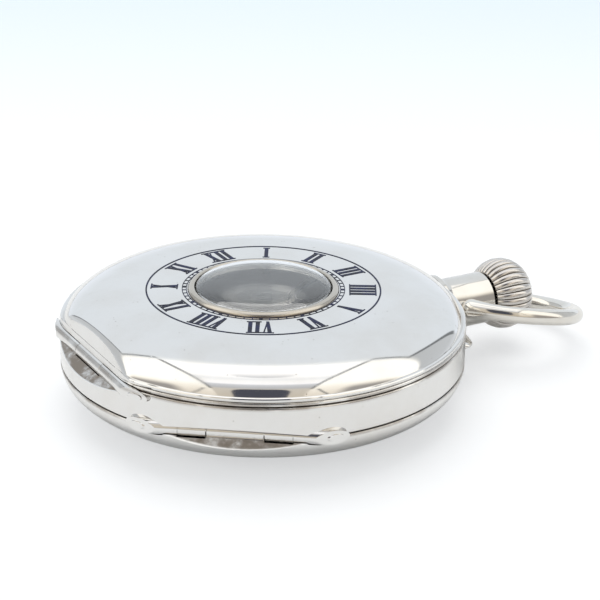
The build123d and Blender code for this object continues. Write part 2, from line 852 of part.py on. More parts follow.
with BuildPart() as lid_chapter_lines:
    ring(
        chapter_line_radius + chapter_line_width / 2,
        chapter_line_radius - chapter_line_width / 2,
        lid_top,
        lid_top + enamel_height,
    )
    minute_track(
        track_outer, track_inner, track_line_width, minutes, minute_tick_width, hour_tick_width,
        lid_top, lid_top + enamel_height,
    )
keep(lid_chapter_lines, "lid_chapter_lines")

# Back cover and inner dust cover, both on the back hinge
back_rim_top = band_bottom - lid_gap
facet_drop = back_facet_slope * (case_radius + overrun - hinge_reach)
back_facet = [
    (hinge_reach, back_axis_height),
    (case_radius + overrun, back_axis_height - facet_drop),
    (case_radius + overrun, back_axis_height + overrun),
    (hinge_reach, back_axis_height + overrun),
]
back_facet_cut = hinge_prism(back_facet, -hinge_half, hinge_half, back_hinge_angle)
back_tube_gap = back_knuckle_half + knuckle_gap
back_grooves = [
    hinge_rod(back_axis_height, groove_radius, back_tube_gap, hinge_half, back_hinge_angle),
    hinge_rod(back_axis_height, groove_radius, -hinge_half, -back_tube_gap, back_hinge_angle),
]
arm_slot = [
    (dust_radius - dust_wall - turning_room, dust_arm_low - turning_room),
    (hinge_reach + tube_radius + turning_room, dust_arm_low - turning_room),
    (hinge_reach + tube_radius + turning_room, band_bottom + overrun),
    (dust_radius - dust_wall - turning_room, band_bottom + overrun),
]
arm_slot_end = dust_knuckle_end + turning_room
for start, end in ((back_tube_gap, arm_slot_end), (-arm_slot_end, -back_tube_gap)):
    back_grooves.append(hinge_prism(arm_slot, start, end, back_hinge_angle))
back_knuckle = hinge_rod(back_axis_height, tube_radius, -back_knuckle_half, back_knuckle_half, back_hinge_angle)
back_pin_hole = hinge_rod(back_axis_height, pin_radius + running_gap, -hinge_half, hinge_half, back_hinge_angle)



def bowl_point(turn, inset):
    """a point of the back's bowl section, moved inwards by a wall thickness"""
    side_power = 2 / 3
    slope_out = back_bowl_radius * side_power * math.sin(turn)**(side_power - 1) * math.cos(turn)
    slope_up = back_bowl_height * math.sin(turn)
    length = math.hypot(slope_out, slope_up)
    out = back_bowl_radius * math.sin(turn)**side_power - inset * slope_up / length
    return (out, back_bowl_height * (1 - math.cos(turn)) + inset * slope_out / length)


bowl_turns = (0.55, 0.8, 1.0)
with BuildPart() as back_cover:
    with BuildSketch(Plane.XZ):
        with BuildLine():
            Line((0, 0), (back_flat_radius, 0))
            Spline(
                (back_flat_radius, 0),
                *[bowl_point(turn, 0) for turn in (*bowl_turns, bowl_rim_turn)],
                (back_bowl_radius, back_bowl_height),
                tangents=((1, 0), (0, 1)),
            )
            Line((back_bowl_radius, back_bowl_height), (case_radius, back_rim_height))
            Line((case_radius, back_rim_height), (case_radius, back_rim_top))
            Line((case_radius, back_rim_top), (back_inner_radius, back_rim_top))
            Line((back_inner_radius, back_rim_top), bowl_point(bowl_turns[-1], back_wall))
            Spline(
                *[bowl_point(turn, back_wall) for turn in bowl_turns[::-1]],
                (back_flat_radius, back_wall),
            )
            Line((back_flat_radius, back_wall), (0, back_wall))
            Line((0, back_wall), (0, 0))
        make_face()
    revolve(axis=Axis.Z)
    with BuildSketch(Plane.XY.offset(back_rim_top - lip_thickness)):
        with BuildLine():
            lip_ends = [polar(case_radius - band_edge, lip_angle + side * lip_half_angle) for side in (-1, 1)]
            ThreePointArc(lip_ends[0], polar(lip_reach, lip_angle), lip_ends[1])
            ThreePointArc(lip_ends[1], polar(case_radius - lip_root_inset, lip_angle), lip_ends[0])
        make_face()
    extrude(amount=lip_thickness)
    add(back_facet_cut, mode=Mode.SUBTRACT)
    for groove in back_grooves:
        add(groove, mode=Mode.SUBTRACT)
    add(back_knuckle)
    add(back_pin_hole, mode=Mode.SUBTRACT)
keep(back_cover, "back_cover")

arm_outline = [
    (dust_radius - dust_wall, dust_arm_low),
    (hinge_reach, dust_arm_low),
    (hinge_reach, back_rim_top),
    (dust_radius - dust_wall, back_rim_top),
]
dust_starts = ((back_knuckle_half + 2 * knuckle_gap, dust_knuckle_end),
               (-dust_knuckle_end, -back_knuckle_half - 2 * knuckle_gap))
dust_knuckles = []
for start, end in dust_starts:
    dust_knuckles.append(hinge_prism(arm_outline, start, end, back_hinge_angle))
    dust_knuckles.append(hinge_rod(back_axis_height, tube_radius, start, end, back_hinge_angle))
with BuildPart() as dust_cover:
    with BuildSketch(Plane.XZ):
        with BuildLine():
            Line((0, dust_floor), (dust_flat_radius, dust_floor))
            Spline((dust_flat_radius, dust_floor), (dust_radius, dust_rim_low), tangents=((1, 0), (0, 1)))
            Line((dust_radius, dust_rim_low), (dust_radius, dust_rim_top))
            Line((dust_radius, dust_rim_top), (dust_radius - dust_wall, dust_rim_top))
            Line((dust_radius - dust_wall, dust_rim_top), (dust_radius - dust_wall, dust_rim_low))
            Spline((dust_radius - dust_wall, dust_rim_low), (dust_flat_radius, dust_floor + dust_wall),
                   tangents=((0, -1), (-1, 0)))
            Line((dust_flat_radius, dust_floor + dust_wall), (0, dust_floor + dust_wall))
            Line((0, dust_floor + dust_wall), (0, dust_floor))
        make_face()
    revolve(axis=Axis.Z)
    for knuckle in dust_knuckles:
        add(knuckle)
    add(back_pin_hole, mode=Mode.SUBTRACT)
keep(dust_cover, "dust_cover")

# Pendant, sleeve, crown and stem
stem_axis = Axis((0, 0, stem_height), (1, 0, 0))
stem_side = Plane(origin=(0, 0, stem_height), x_dir=(1, 0, 0), z_dir=(0, -1, 0))


def stem_turned(points, mode=Mode.ADD):
    """a turned piece on the stem axis from its (along, out) outline"""
    with BuildSketch(stem_side, mode=Mode.PRIVATE) as face:
        with BuildLine():
            Polyline(*points, close=True)
        make_face()
    revolve(face.sketch, axis=stem_axis, mode=mode)


pendant_lip = (case_radius + pendant_lip_length, pendant_lip_radius)
neck_start = (case_radius + pendant_fillet_length, pendant_radius)
bow_axis = Plane(origin=(bow_pivot, 0, stem_height), x_dir=(1, 0, 0), z_dir=(0, 1, 0)).rotated(
    (bow_lean_angle, 0, 0))
with BuildPart() as pendant:
    with BuildSketch(stem_side):
        with BuildLine():
            Line((spigot_start, 0), (spigot_start, pendant_foot_radius))
            Line((spigot_start, pendant_foot_radius), pendant_lip)
            ThreePointArc(pendant_lip, (case_radius + pendant_fillet_middle, pendant_fillet_radius), neck_start)
            Line(neck_start, (pendant_end, pendant_radius))
            Line((pendant_end, pendant_radius), (pendant_end, 0))
            Line((pendant_end, 0), (spigot_start, 0))
        make_face()
    revolve(axis=stem_axis)
    disc(case_radius, -overrun, lid_top, mode=Mode.SUBTRACT)
    disc(pendant_seat_radius, -overrun, band_bottom, mode=Mode.SUBTRACT)
    disc(pendant_seat_radius, band_top, lid_top, mode=Mode.SUBTRACT)
    stem_turned([(spigot_start, 0), (spigot_start, spigot_radius), (sleeve_start, spigot_radius),
                 (sleeve_start, 0)])
    stem_turned([(sleeve_start, 0), (sleeve_start, sleeve_bore), (pendant_end + overrun, sleeve_bore),
                 (pendant_end + overrun, 0)], Mode.SUBTRACT)
    stem_turned([(spigot_start - overrun, 0), (spigot_start - overrun, stem_radius + turning_room),
                 (pendant_end, stem_radius + turning_room), (pendant_end, 0)], Mode.SUBTRACT)
    for side in (-1, 1):
        with BuildSketch(bow_axis.offset(side * (bow_pin_start - turning_room))):
            Circle(bow_pin_radius + running_gap)
        extrude(amount=side * (bow_pin_depth + turning_room + overrun), mode=Mode.SUBTRACT)
keep(pendant, "pendant")

with BuildPart() as pendant_sleeve:
    sleeve_outer = sleeve_bore - seat_gap
    stem_turned([(sleeve_start, sleeve_outer - sleeve_wall), (sleeve_start, sleeve_outer),
                 (pendant_end, sleeve_outer), (pendant_end, sleeve_outer - sleeve_wall)])
keep(pendant_sleeve, "pendant_sleeve")

crown_ends = ((crown_start, crown_neck_radius), (crown_end, crown_tip_radius))
crown_shoulder = (crown_widest, crown_radius)
crown_centre = circle_centre(crown_ends[0], crown_shoulder, crown_ends[1])
rib_path_radius = math.dist(crown_centre, crown_shoulder) + crown_rib_offset
rib_angles = [bearing(crown_centre, place) for place in (crown_ends[0], crown_shoulder, crown_ends[1])]
rib_points = [
    polar(rib_path_radius, rib_angles[0] + crown_rib_overrun, crown_centre),
    polar(rib_path_radius, rib_angles[1], crown_centre),
    polar(rib_path_radius, rib_angles[2] - crown_rib_overrun, crown_centre),
]
with BuildPart() as crown:
    with BuildSketch(stem_side):
        with BuildLine():
            Line((crown_start, 0), crown_ends[0])
            ThreePointArc(crown_ends[0], crown_shoulder, crown_ends[1])
            Line(crown_ends[1], (crown_end, 0))
            Line((crown_end, 0), (crown_start, 0))
        make_face()
    revolve(axis=stem_axis)
    with BuildLine(stem_side) as rib_path:
        ThreePointArc(*rib_points)
    rib_plane = Plane(origin=rib_path.line @ 0, z_dir=rib_path.line % 0)
    with BuildSketch(rib_plane, mode=Mode.PRIVATE) as rib_face:
        Circle(crown_rib_radius)
    rib_tool = sweep(rib_face.sketch, path=rib_path.line, mode=Mode.PRIVATE)
    for k in range(crown_ribs):
        add(rib_tool.rotate(stem_axis, 360 * k / crown_ribs), mode=Mode.SUBTRACT)
    stem_turned([(crown_tube_start, 0), (crown_tube_start, crown_tube_radius),
                 (crown_start, crown_tube_radius), (crown_start, 0)])
    stem_turned([(sleeve_start - overrun, 0), (sleeve_start - overrun, stem_radius + seat_gap),
                 (stem_end + seat_gap, stem_radius + seat_gap), (stem_end + seat_gap, 0)], Mode.SUBTRACT)
keep(crown, "crown")

with BuildPart() as winding_stem:
    stem_turned([(stem_start, 0), (stem_start, stem_square_radius), (stem_step, stem_square_radius),
                 (stem_step, stem_radius), (stem_end, stem_radius), (stem_end, 0)])
keep(winding_stem, "winding_stem")

# Bow: a round wire ring on two pins in the neck
bow_shape_share = math.sqrt(1 - (bow_seat / bow_half_width)**2)
bow_half_length = bow_length / (1 + bow_shape_share)
bow_middle = bow_length - bow_half_length
bow_side_radius = (bow_middle**2 + (bow_half_width - bow_seat)**2) / (2 * (bow_half_width - bow_seat))
bow_side_offset = bow_side_radius - bow_half_width
bow_end_offset = bow_side_radius - bow_length
bow_end_centre = (bow_middle**2 + bow_side_offset**2 - bow_end_offset**2) / (2 * (bow_end_offset + bow_middle))
bow_join_angle = math.degrees(math.atan2(bow_side_offset, bow_end_centre - bow_middle))
bow_join = polar(bow_length - bow_end_centre, bow_join_angle, (bow_end_centre, 0))
bow_plane = Plane(origin=(bow_pivot, 0, stem_height), x_dir=(1, 0, 0), z_dir=(0, 0, 1)).rotated(
    (bow_lean_angle, bow_drop_angle, 0))
with BuildPart() as bow:
    with BuildLine(bow_plane) as bow_path:
        ThreePointArc((0, -bow_seat), (bow_middle, -bow_half_width), (bow_join[0], -bow_join[1]))
        ThreePointArc((bow_join[0], -bow_join[1]), (bow_length, 0), bow_join)
        ThreePointArc(bow_join, (bow_middle, bow_half_width), (0, bow_seat))
    bow_wire = bow_path.wire()
    with BuildSketch(Plane(origin=bow_wire @ 0, z_dir=bow_wire % 0), mode=Mode.PRIVATE) as wire:
        Circle(bow_wire_radius)
    sweep(wire.sketch, path=bow_wire)
    for side in (-1, 1):
        end_point = bow_wire @ (0 if side == -1 else 1)
        # turned so that the ball's own seam stays clear of the wire
        with Locations(end_point):
            Sphere(bow_boss_radius, rotation=(0, 0, 180))
        with BuildSketch(bow_axis.offset(side * bow_pin_start)):
            Circle(bow_pin_radius)
        extrude(amount=side * (bow_seat - bow_pin_start))
keep(bow, "bow")


# Movement plates
def jewel_seat(at, face, side):
    """a seat for a jewel and room for the pivot's end, into a plate's inner face"""
    low, high = sorted((face, face + side * jewel_height))
    disc(jewel_radius, low, high, at, Mode.SUBTRACT)
    low, high = sorted((face, face + side * 2 * jewel_height))
    disc(2 * pivot_radius, low, high, at, Mode.SUBTRACT)


def screw(at, low, radius=screw_head_radius, height=screw_head_height, shank=screw_depth):
    """a slotted screw whose head stands below a face at this height, its shank upwards"""
    disc(radius, low - height, low, at)
    disc(screw_shank_radius, low, low + shank, at)
    slab(
        [(at[0] - radius, at[1] - screw_slot / 2), (at[0] + radius, at[1] - screw_slot / 2),
         (at[0] + radius, at[1] + screw_slot / 2), (at[0] - radius, at[1] + screw_slot / 2)],
        low - height, low - height / 2, Mode.SUBTRACT,
    )


pillar_places = [polar(pillar_ring, angle) for angle in (*barrel_pillar_angles, *train_pillar_angles)]
case_screw_places = [polar(case_screw_ring, angle) for angle in case_screw_angles]
pallet_foot = polar(pallet_foot_reach, lever_angle + 90, pallet_place)
plate_jewels = (third_place, escape_place, pallet_place, balance_place)
bridge_jewels = (third_place, fourth_place, escape_place)

with BuildPart() as main_plate:
    disc(plate_radius, plate_low, plate_high)
    ring(plate_radius, plate_rim_inner, plate_high, dial_seat)
    disc(minute_post_radius, plate_high, minute_post_high, minute_wheel_place)
    slab(
        [(pinion_start - pinion_clear, -pinion_slot_half), (pinion_end + pinion_clear, -pinion_slot_half),
         (pinion_end + pinion_clear, pinion_slot_half), (pinion_start - pinion_clear, pinion_slot_half)],
        plate_low - overrun, plate_high, Mode.SUBTRACT,
    )
    for place in plate_jewels:
        jewel_seat(place, plate_low, 1)
    disc(centre_arbor_radius + running_gap, plate_low - overrun, plate_high + overrun, mode=Mode.SUBTRACT)
    disc(seconds_arbor_radius + running_gap, plate_low - overrun, plate_high + overrun, fourth_place,
         Mode.SUBTRACT)
    disc(arbor_pivot_radius + running_gap, plate_low - overrun, plate_high + overrun, barrel_place,
         Mode.SUBTRACT)
    for place in case_screw_places:
        disc(screw_shank_radius, plate_low - overrun, plate_high + overrun, place, Mode.SUBTRACT)
keep(main_plate, "main_plate")

with BuildPart() as plate_pillars:
    for place in pillar_places:
        disc(pillar_radius, bridge_high, plate_low, place)
        disc(screw_shank_radius, bridge_high - overrun, bridge_low + screw_depth, place, Mode.SUBTRACT)
keep(plate_pillars, "plate_pillars")


def cock_clearance():
    """room round the balance cock in the bridges"""
    bar(balance_place, cock_foot, cock_arm_half + cock_gap, bridge_low - overrun, bridge_high + overrun,
        Mode.SUBTRACT)
    disc(cock_foot_radius + cock_gap, bridge_low - overrun, bridge_high + overrun, cock_foot, Mode.SUBTRACT)


def bridge_half(side):
    """one side of the pierced three quarter plate"""
    disc(bridge_radius, bridge_low, bridge_high)
    reach = bridge_radius + overrun
    shift = split_offset + side * bridge_split / 2
    edge = [(-reach, shift - split_slope * reach), (reach, shift + split_slope * reach)]
    slab([*edge, (reach, -side * reach), (-reach, -side * reach)], bridge_low - overrun, bridge_high + overrun,
         Mode.SUBTRACT)
    cock_clearance()


with BuildPart() as barrel_bridge:
    bridge_half(1)
    disc(balance_opening, bridge_low - overrun, bridge_high + overrun, balance_place, Mode.SUBTRACT)
    disc(crown_core_radius, bridge_high, ratchet_high + end_shake, crown_wheel_place)
    disc(screw_shank_radius, bridge_low, ratchet_high + overrun, crown_wheel_place, Mode.SUBTRACT)
    disc(click_post_radius, bridge_high, ratchet_high, polar(click_reach, click_bearing, barrel_place))
    disc(centre_arbor_radius + running_gap, bridge_low - overrun, bridge_high + overrun, mode=Mode.SUBTRACT)
    disc(arbor_pivot_radius + running_gap, bridge_low - overrun, bridge_high + overrun, barrel_place,
         Mode.SUBTRACT)
    for place in pillar_places[:3]:
        disc(screw_shank_radius, bridge_low - overrun, bridge_high + overrun, place, Mode.SUBTRACT)
keep(barrel_bridge, "barrel_bridge")

with BuildPart() as train_bridge:
    bridge_half(-1)
    disc(balance_opening, bridge_low - overrun, bridge_high + overrun, balance_place, Mode.SUBTRACT)
    for place in bridge_jewels:
        jewel_seat(place, bridge_high, -1)
    for place in pillar_places[3:]:
        disc(screw_shank_radius, bridge_low - overrun, bridge_high + overrun, place, Mode.SUBTRACT)
keep(train_bridge, "train_bridge")

with BuildPart() as pallet_cock:
    bar(pallet_place, pallet_foot, pallet_cock_half, pallet_cock_low, pallet_cock_high)
    disc(pallet_foot_radius, pallet_cock_low, plate_low, pallet_foot)
    disc(pivot_radius + running_gap, pallet_cock_low - overrun, pallet_cock_high + overrun, pallet_place,
         Mode.SUBTRACT)
    disc(screw_shank_radius, pallet_cock_low - overrun, pallet_cock_high, pallet_foot, Mode.SUBTRACT)
keep(pallet_cock, "pallet_cock")

with BuildPart() as balance_cock:
    disc(cock_head_radius, bridge_low, bridge_high, balance_place)
    bar(balance_place, cock_foot, cock_arm_half, bridge_low, bridge_high)
    disc(cock_foot_radius, bridge_low, plate_low, cock_foot)
    disc(regulator_inner - running_gap, regulator_low, bridge_low, balance_place)
    jewel_seat(balance_place, bridge_high, -1)
    disc(screw_shank_radius, bridge_low - overrun, bridge_low + screw_depth, cock_foot, Mode.SUBTRACT)
keep(balance_cock, "balance_cock")

with BuildPart() as regulator:
    ring(regulator_outer, regulator_inner, regulator_low, regulator_high, balance_place)
    tail_angle = cock_foot_angle + 180
    bar(polar(regulator_outer - regulator_tail_half, tail_angle, balance_place),
        polar(regulator_tail, tail_angle, balance_place), regulator_tail_half, regulator_low, regulator_high)
keep(regulator, "regulator")

with BuildPart() as jewels:
    for place in plate_jewels:
        ring(jewel_radius, pivot_radius + running_gap, plate_low, plate_low + jewel_height, place)
    for place in (*bridge_jewels, balance_place):
        ring(jewel_radius, pivot_radius + running_gap, bridge_high - jewel_height, bridge_high, place)
keep(jewels, "jewels")

with BuildPart() as plate_screws:
    for place in (*pillar_places, cock_foot):
        screw(place, bridge_low)
    screw(crown_wheel_place, bridge_low, shank=ratchet_high - bridge_low)
    screw(pallet_foot, pallet_cock_low, pallet_screw_radius, pallet_screw_height,
          pallet_cock_high - pallet_cock_low)
    disc(crown_screw_radius, ratchet_high + end_shake, ratchet_high + 2 * end_shake + arbor_radius,
         crown_wheel_place)
keep(plate_screws, "plate_screws")

with BuildPart() as case_screws:
    for place in case_screw_places:
        screw(place, ledge_bottom, case_head_radius, case_head_height, plate_high - ledge_bottom)
keep(case_screws, "case_screws")


# Going train
def arbor(at, low=bridge_high, high=plate_low):
    """a shaft between the plates with a thin pivot at each end"""
    disc(arbor_radius, low + end_shake, high - end_shake, at)
    disc(pivot_radius, low - pivot_length, high + pivot_length, at)


with BuildPart() as mainspring_barrel:
    spur(barrel_teeth, barrel_module, barrel_low, barrel_low + barrel_tooth_height, barrel_place, origin,
         gap=True)
    disc(barrel_drum_radius, barrel_low, barrel_high, barrel_place)
    disc(barrel_drum_radius - barrel_wall, barrel_low + barrel_floor, barrel_high, barrel_place, Mode.SUBTRACT)
    disc(barrel_cover_radius, barrel_high - barrel_cover_height, barrel_high, barrel_place, Mode.SUBTRACT)
    disc(arbor_pivot_radius + running_gap, barrel_low - overrun, barrel_high, barrel_place, Mode.SUBTRACT)
keep(mainspring_barrel, "mainspring_barrel")

with BuildPart() as barrel_cover:
    ring(barrel_cover_radius, arbor_pivot_radius + running_gap, barrel_high - barrel_cover_height, barrel_high,
         barrel_place)
keep(barrel_cover, "barrel_cover")

spring_room_low = barrel_low + barrel_floor + end_shake
spring_room_high = barrel_high - barrel_cover_height - end_shake
with BuildPart() as mainspring:
    coil_reach = barrel_drum_radius - barrel_wall - mainspring_width / 2
    spiral_ribbon(coil_reach - mainspring_half_turns * mainspring_pitch / 2, mainspring_pitch,
                  mainspring_width, mainspring_half_turns, spring_room_low, spring_room_high, barrel_place, 0)
keep(mainspring, "mainspring")

with BuildPart() as barrel_arbor:
    disc(arbor_pivot_radius, bridge_low, plate_high, barrel_place)
    disc(arbor_core_radius, spring_room_low, spring_room_high, barrel_place)
    disc(arbor_collar_radius, ratchet_high, arbor_collar_high, barrel_place)
keep(barrel_arbor, "barrel_arbor")

with BuildPart() as ratchet_wheel:
    spur(ratchet_teeth, winding_module, ratchet_low, ratchet_high, barrel_place, crown_wheel_place, gap=True)
    disc(arbor_pivot_radius, ratchet_low - overrun, ratchet_high + overrun, barrel_place, Mode.SUBTRACT)
keep(ratchet_wheel, "ratchet_wheel")

with BuildPart() as crown_wheel:
    spur(crown_wheel_teeth, winding_module, ratchet_low, ratchet_high, crown_wheel_place, barrel_place)
    ring(contrate_outer, contrate_inner, ratchet_high, contrate_high, crown_wheel_place)
    with BuildSketch(Plane.XY.offset(contrate_base), mode=Mode.PRIVATE) as face:
        with Locations(crown_wheel_place):
            with PolarLocations(0, crown_wheel_teeth):
                Rectangle(contrate_outer + overrun, contrate_gap, align=(Align.MIN, Align.CENTER))
    extrude(face.sketch, amount=contrate_high - contrate_base, mode=Mode.SUBTRACT)
    disc(crown_core_radius + running_gap, ratchet_low - overrun, ratchet_high + overrun, crown_wheel_place,
         Mode.SUBTRACT)
keep(crown_wheel, "crown_wheel")

click_place = polar(click_reach, click_bearing, barrel_place)
click_facing = bearing(click_place, barrel_place)
ratchet_tip = (ratchet_teeth / 2 + tooth_tip_share) * winding_module
with BuildPart() as click:
    disc(click_head_radius, ratchet_low, ratchet_high, click_place)
    slab(
        [polar(click_beak_half, click_facing + 90, click_place),
         polar(click_beak_half, click_facing - 90, click_place),
         polar(click_reach - ratchet_tip - running_gap, click_facing, click_place)],
        ratchet_low, ratchet_high,
    )
    bar(click_place, polar(click_tail_length, click_facing + 180, click_place), click_tail_half,
        ratchet_low, ratchet_high)
    disc(click_post_radius + running_gap, ratchet_low - overrun, ratchet_high + overrun, click_place,
         Mode.SUBTRACT)
keep(click, "click")

with BuildPart() as click_spring:
    stud_angle = click_facing + click_stud_angle
    spring_arc = click_tail_length
    arc_bar(spring_arc + spring_wire / 2, spring_arc - spring_wire / 2, stud_angle,
            click_facing + click_spring_angle, ratchet_low + end_shake, ratchet_high - end_shake, click_place)
    disc(click_stud_radius, bridge_high, ratchet_high, polar(spring_arc, stud_angle, click_place))
keep(click_spring, "click_spring")

with BuildPart() as centre_wheel:
    spur(centre_teeth, centre_module, centre_wheel_low, centre_wheel_high, origin, third_place, gap=True)
    windows(centre_window_outer, centre_window_inner, train_arms, train_arm_width, centre_wheel_low,
            centre_wheel_high, origin)
    spur(centre_leaves, barrel_module, barrel_low - end_shake, centre_wheel_low, origin, barrel_place)
    disc(centre_arbor_radius, bridge_low, centre_arbor_top)
    disc(arbor_collar_radius, bridge_high + end_shake, barrel_low - end_shake)
keep(centre_wheel, "centre_wheel")

with BuildPart() as third_wheel:
    arbor(third_place)
    spur(third_teeth, third_module, third_wheel_low, third_wheel_high, third_place, fourth_place, gap=True)
    windows(third_window_outer, centre_window_inner, train_arms, train_arm_width, third_wheel_low,
            third_wheel_high, third_place)
    spur(third_leaves, centre_module, centre_wheel_low - pinion_clear, centre_wheel_high + pinion_clear,
         third_place, origin)
keep(third_wheel, "third_wheel")

with BuildPart() as fourth_wheel:
    arbor(fourth_place)
    disc(seconds_arbor_radius, plate_low, seconds_hand_low + seconds_hand_thickness, fourth_place)
    spur(fourth_teeth, fourth_module, fourth_wheel_low, fourth_wheel_high, fourth_place, escape_place, gap=True)
    windows(fourth_window_outer, fourth_window_inner, train_arms, train_arm_width, fourth_wheel_low,
            fourth_wheel_high, fourth_place)
    spur(fourth_leaves, third_module, third_wheel_low - pinion_clear, third_wheel_high + pinion_clear,
         fourth_place, third_place)
keep(fourth_wheel, "fourth_wheel")

escape_facing = bearing(escape_place, pallet_place)
with BuildPart() as escape_wheel:
    arbor(escape_place)
    tooth_step = 360 / escape_teeth
    outline = []
    for k in range(escape_teeth):
        tip = escape_facing + escape_phase + k * tooth_step
        outline += [
            polar(escape_root_radius, tip + escape_tooth_back, escape_place),
            polar(escape_tip_radius, tip - escape_tip_half, escape_place),
            polar(escape_tip_radius, tip + escape_tip_half, escape_place),
            polar(escape_root_radius, tip + escape_tooth_front, escape_place),
        ]
    slab(outline, escape_wheel_low, escape_wheel_high)
    windows(escape_rim_inner, fourth_window_inner, train_arms, fourth_arm_width, escape_wheel_low,
            escape_wheel_high, escape_place)
    spur(escape_leaves, fourth_module, fourth_wheel_low - pinion_clear, fourth_wheel_high + pinion_clear,
         escape_place, fourth_place)
keep(escape_wheel, "escape_wheel")

with BuildPart() as pallet_fork:
    arbor(pallet_place, pallet_cock_high)
    arc_bar(anchor_outer, anchor_inner, escape_facing - anchor_half_angle, escape_facing + anchor_half_angle,
            fork_low, fork_high, escape_place)
    bar(pallet_place, polar(fork_tip_reach - fork_head_half, lever_angle, pallet_place), fork_lever_half,
        fork_low, fork_high)
    head = polar(fork_tip_reach - fork_head_half, lever_angle, pallet_place)
    disc(fork_head_half, fork_low, fork_high, head)
    bar(polar(fork_tip_reach - fork_notch_depth, lever_angle, pallet_place),
        polar(fork_tip_reach + fork_notch_depth, lever_angle, pallet_place), fork_notch_half,
        fork_low - overrun, fork_high + overrun, Mode.SUBTRACT)
    for side in (-1, 1):
        angle = escape_facing + side * stone_angle
        bar(polar(stone_inner, angle, escape_place), polar(stone_outer - stone_half, angle, escape_place),
            stone_half, fork_low - overrun, fork_high + overrun, Mode.SUBTRACT)
keep(pallet_fork, "pallet_fork")

with BuildPart() as pallet_stones:
    for side in (-1, 1):
        angle = escape_facing + side * stone_angle
        bar(polar(stone_inner + stone_half, angle, escape_place),
            polar(stone_outer - stone_half, angle, escape_place), stone_half, stone_low, stone_high)
keep(pallet_stones, "pallet_stones")

# Balance
with BuildPart() as balance_wheel:
    ring(balance_radius, balance_radius - balance_rim_width, balance_low, balance_high, balance_place)
    arm_reach = balance_radius - balance_rim_width / 2
    bar(polar(arm_reach, lever_angle, balance_place), polar(-arm_reach, lever_angle, balance_place),
        balance_arm_half, balance_arm_low, balance_arm_high)
    disc(balance_hub_radius, balance_arm_low, balance_high, balance_place)
    arbor(balance_place)
    disc(roller_radius, roller_low, roller_high, balance_place)
    disc(impulse_pin_radius, roller_high, fork_high, polar(impulse_pin_reach, lever_angle, balance_place))
    rim_middle = (balance_low + balance_high) / 2
    for k in range(balance_screws):
        turn = lever_angle + 360 * (k + 1 / 2) / balance_screws
        foot = polar(balance_radius - balance_screw_length, turn, balance_place)
        screw_face = Plane(origin=(*foot, rim_middle), z_dir=(*polar(1, turn), 0))
        with BuildSketch(screw_face, mode=Mode.PRIVATE) as head:
            Circle(balance_screw_radius)
        extrude(head.sketch, amount=2 * balance_screw_length)
keep(balance_wheel, "balance_wheel")

with BuildPart() as hairspring:
    spiral_ribbon(hairspring_start, hairspring_pitch, hairspring_width, hairspring_half_turns, hairspring_low,
                  hairspring_high, balance_place, cock_foot_angle)
    stud_reach = hairspring_start + hairspring_half_turns * hairspring_pitch / 2
    disc(stud_radius, bridge_high, hairspring_high, polar(stud_reach, cock_foot_angle, balance_place))
keep(hairspring, "hairspring")

# Winding pinion
with BuildPart() as winding_pinion:
    with BuildSketch(Plane(origin=(pinion_start, 0, stem_height), x_dir=(0, 0, -1), z_dir=(1, 0, 0))):
        Polygon(*gear_points(pinion_teeth, winding_module), align=None)
        Circle(stem_square_radius + seat_gap, mode=Mode.SUBTRACT)
    extrude(amount=pinion_end - pinion_start)
keep(winding_pinion, "winding_pinion")

# Motion work, dial and hands
with BuildPart() as cannon_pinion:
    spur(cannon_teeth, cannon_module, cannon_low, cannon_high, origin, minute_wheel_place)
    disc(cannon_pipe_radius, cannon_low, cannon_pipe_top)
    disc(centre_arbor_radius + running_gap, cannon_low - overrun, cannon_pipe_top + overrun, mode=Mode.SUBTRACT)
keep(cannon_pinion, "cannon_pinion")

with BuildPart() as hour_wheel:
    spur(hour_teeth, hour_module, hour_wheel_low, hour_wheel_high, origin, minute_wheel_place)
    disc(hour_pipe_radius, hour_wheel_low, hour_pipe_top)
    disc(cannon_pipe_radius + running_gap, hour_wheel_low - overrun, hour_pipe_top + overrun, mode=Mode.SUBTRACT)
keep(hour_wheel, "hour_wheel")

with BuildPart() as minute_wheel:
    spur(minute_teeth, cannon_module, minute_wheel_low, minute_wheel_high, minute_wheel_place, origin, gap=True)
    spur(minute_leaves, hour_module, minute_wheel_high, minute_pinion_high, minute_wheel_place, origin, gap=True)
    disc(minute_post_radius + running_gap, minute_wheel_low - overrun, minute_pinion_high + overrun,
         minute_wheel_place, Mode.SUBTRACT)
keep(minute_wheel, "minute_wheel")

sunk_face = dial_top - seconds_dial_depth
with BuildPart() as dial:
    disc(dial_radius, dial_seat, dial_top)
    disc(seconds_dial_radius, sunk_face, dial_top, fourth_place, Mode.SUBTRACT)
    disc(seconds_arbor_radius + turning_room, dial_seat, dial_top, fourth_place, Mode.SUBTRACT)
    disc(hour_pipe_radius + turning_room, dial_seat, dial_top, mode=Mode.SUBTRACT)
keep(dial, "dial")

with BuildPart() as dial_markings:
    numeral_ring(dial_numeral_inner, dial_numeral_outer, dial_top, dial_top + print_height, skip=(6,))
    minute_track(dial_track_outer, dial_track_inner, dial_line_width, minutes, dial_tick, dial_long_tick,
                 dial_top, dial_top + print_height)
    minute_track(seconds_track_outer, seconds_track_inner, dial_line_width / 2, minutes, dial_line_width / 2,
                 dial_tick, sunk_face, sunk_face + print_height, fourth_place)
keep(dial_markings, "dial_markings")


